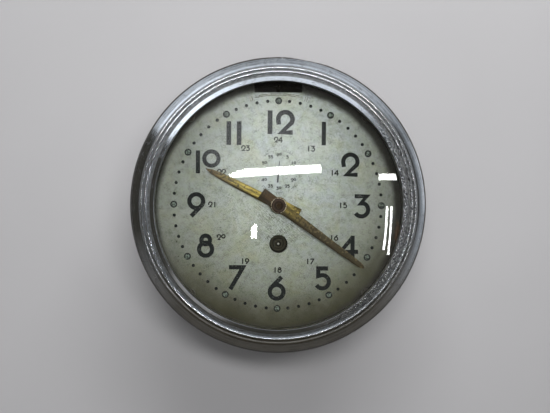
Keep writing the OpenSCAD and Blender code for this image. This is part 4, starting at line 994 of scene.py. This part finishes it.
bezel = turned("bezel_ring", bezel_profile, 540, nibbled)
hinge_clockwise = 11
flat_over_hinge = (20, 75.34, 80.34, 42, 52)
leaf_seat, knuckle_seat = (11, 69.44, 79.44, 42, 45), (9, 66.4, 74.64, 44, 46.2)
for half_width, y_from, y_to, z_from, z_to in (flat_over_hinge, leaf_seat, knuckle_seat):
    outline = [(-half_width, y_from), (half_width, y_from), (half_width, y_to), (-half_width, y_to)]
    cutter = made_object("cutter", prism(outline, z_from, z_to))
    cutter.rotation_euler.z = -math.radians(hinge_clockwise)
    bpy.context.view_layer.update()
    shaped(bezel, cutter, "DIFFERENCE")
smooth_by_angle(bezel, 34)

chrome, shader, place = finish_of("bezel_chrome", metallic=1.0, roughness=0.16)
radius = use(turning_marks, "Radius", Place=place)
lines = use(turning_marks, "Line", Place=place, Lines_Per_mm=2.2)
shade = mixed(cloud(place, 0.12, 5), colour(188, 192, 198), colour(220, 223, 228))
streaky = share(use(turning_marks, "Line", Place=place, Lines_Per_mm=1.6), 0.42, 0.62, 0.0, 0.5)
band_streaks = times(streaky, share(radius, 70.6, 71.2))
toward_top = along(place, (-0.001, 0.0145, 0))
toward_right = along(place, (0.0143, -0.003, 0))
toward_low = along(place, (0, -0.013, 0))
dull = share(cloud(place, 0.35, 6, 0.65, 0.8), 0.5, 0.75, 0, 0.45)
in_grooves = times(share(radius, 64.9, 65.3), share(radius, 66.75, 66.45))
for groove, half in ((68.55, 0.62), (70.5, 0.4)):
    in_grooves = higher(in_grooves, near(radius, groove, half, 0.5))
dirt = times(in_grooves, share(cloud(place, 0.5, 5), 0.3, 0.6, 0.75, 0.95))
grime = mixed(share(cloud(place, 1.4, 4, 0.7), 0.35, 0.65), colour(46, 46, 44), colour(112, 116, 116))
# Painted shade: the lower side, from the first bead out, is darkened in brown streaks and made dull.
lower_side_shade = times(share(toward_low, 0.1, 0.75, 0, 0.8), share(radius, 67.3, 67.8))
lower_shade_streaks = mixed(streaky, colour(80, 71, 48), colour(44, 37, 24))
# Painted shade: the inner wall of the opening is painted dark and dull.
inner_wall_shade = share(radius, 62.78, 62.72)
# Painted shade: the outer edge all round is painted dark and dull.
painted_dark_rim = share(radius, 74.85, 75.2, 0, 0.96)
pits = use(specks, "Specks", Place=place, Size=0.5, Amount=0.62)
on_beads = 0
for bead, half in ((bead_1, 0.6), (bead_2, 0.55)):
    on_beads = higher(on_beads, near(radius, bead, half, 0.7))
# Painted highlight: the beads are painted near white toward the top.
painted_bead_highlight = times(on_beads, share(toward_top, 0.3, 0.7, 0, 0.92))
blistered = times(share(toward_right, 0.35, 0.8), share(radius, 70.3, 69.8))
crust = cloud(place, 1.5, 3, 0.7)
crusted = times(share(crust, 0.54, 0.44, 0, 0.8), blistered)
crumbs = times(share(crust, 0.55, 0.62, 0, 0.9), blistered)
shade = layered(
    shade, (band_streaks, colour(96, 96, 98)), (dull, colour(128, 126, 128)), (dirt, grime), (lower_side_shade, lower_shade_streaks),
    (inner_wall_shade, colour(34, 30, 22)), (painted_dark_rim, colour(44, 40, 31)), (times(pits, 0.7), colour(70, 68, 66)),
    (painted_bead_highlight, colour(240, 242, 244)), (crusted, colour(36, 35, 34)), (crumbs, colour(176, 178, 174)))
covered = times(painted_dark_rim, 0.7)
for cover in (lower_side_shade, inner_wall_shade, dirt, crumbs):
    covered = higher(covered, cover)
rough = ramp(dull, 0.25, ramp(lines, 0.1, 0.06))
fill(shader, Base_Color=shade, Metallic=ramp(covered, -0.92, 1.0), Roughness=ramp(covered, 0.3, rough))
swollen = ramp(blistered, 8.0, 0.4)
grit = ramp(pits, -1.2, ramp(cloud(place, 1.8, 4), 0.35, lines))
raise_surface(shader, ramp(swollen, crust, grit), 0.02)
coat(bezel, chrome)
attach(bezel, "bezel_door")
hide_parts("bezel")


# The glass: a round pane, blown to a shallow dome and ground at the rim, clear with a faint green edge. It sits
# under the bezel's lip and is held from behind by a sprung ring.
def dome(drop):
    """Points on the dome from the rim to the crown, lowered by a drop."""
    reaches = [glass_r * (1 - k / 40) for k in range(41)]
    return [(r, glass_crown - glass_radius - drop + math.sqrt(glass_radius**2 - r**2)) for r in reaches]


glass = turned("glass_dome", dome(0) + dome(glass_t)[::-1], 256)
smooth_by_angle(glass, 30)
glass_clear, shader, place = finish_of("glass_clear", roughness=0.0, Transmission_Weight=1.0, IOR=1.5)
edge_green = share(use(turning_marks, "Radius", Place=place), 62.5, 64.3)
smear = times(share(cloud(place, 0.4, 5, warp=1.5), 0.4, 0.7, 0.0, 0.08), edge_green)
fill(shader, Base_Color=mixed(edge_green, (0.97, 0.98, 0.97, 1), (0.72, 0.82, 0.76, 1)), Roughness=smear)
coat(glass, glass_clear)
glass.visible_shadow = False
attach(glass, "bezel_door")
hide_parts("glass")
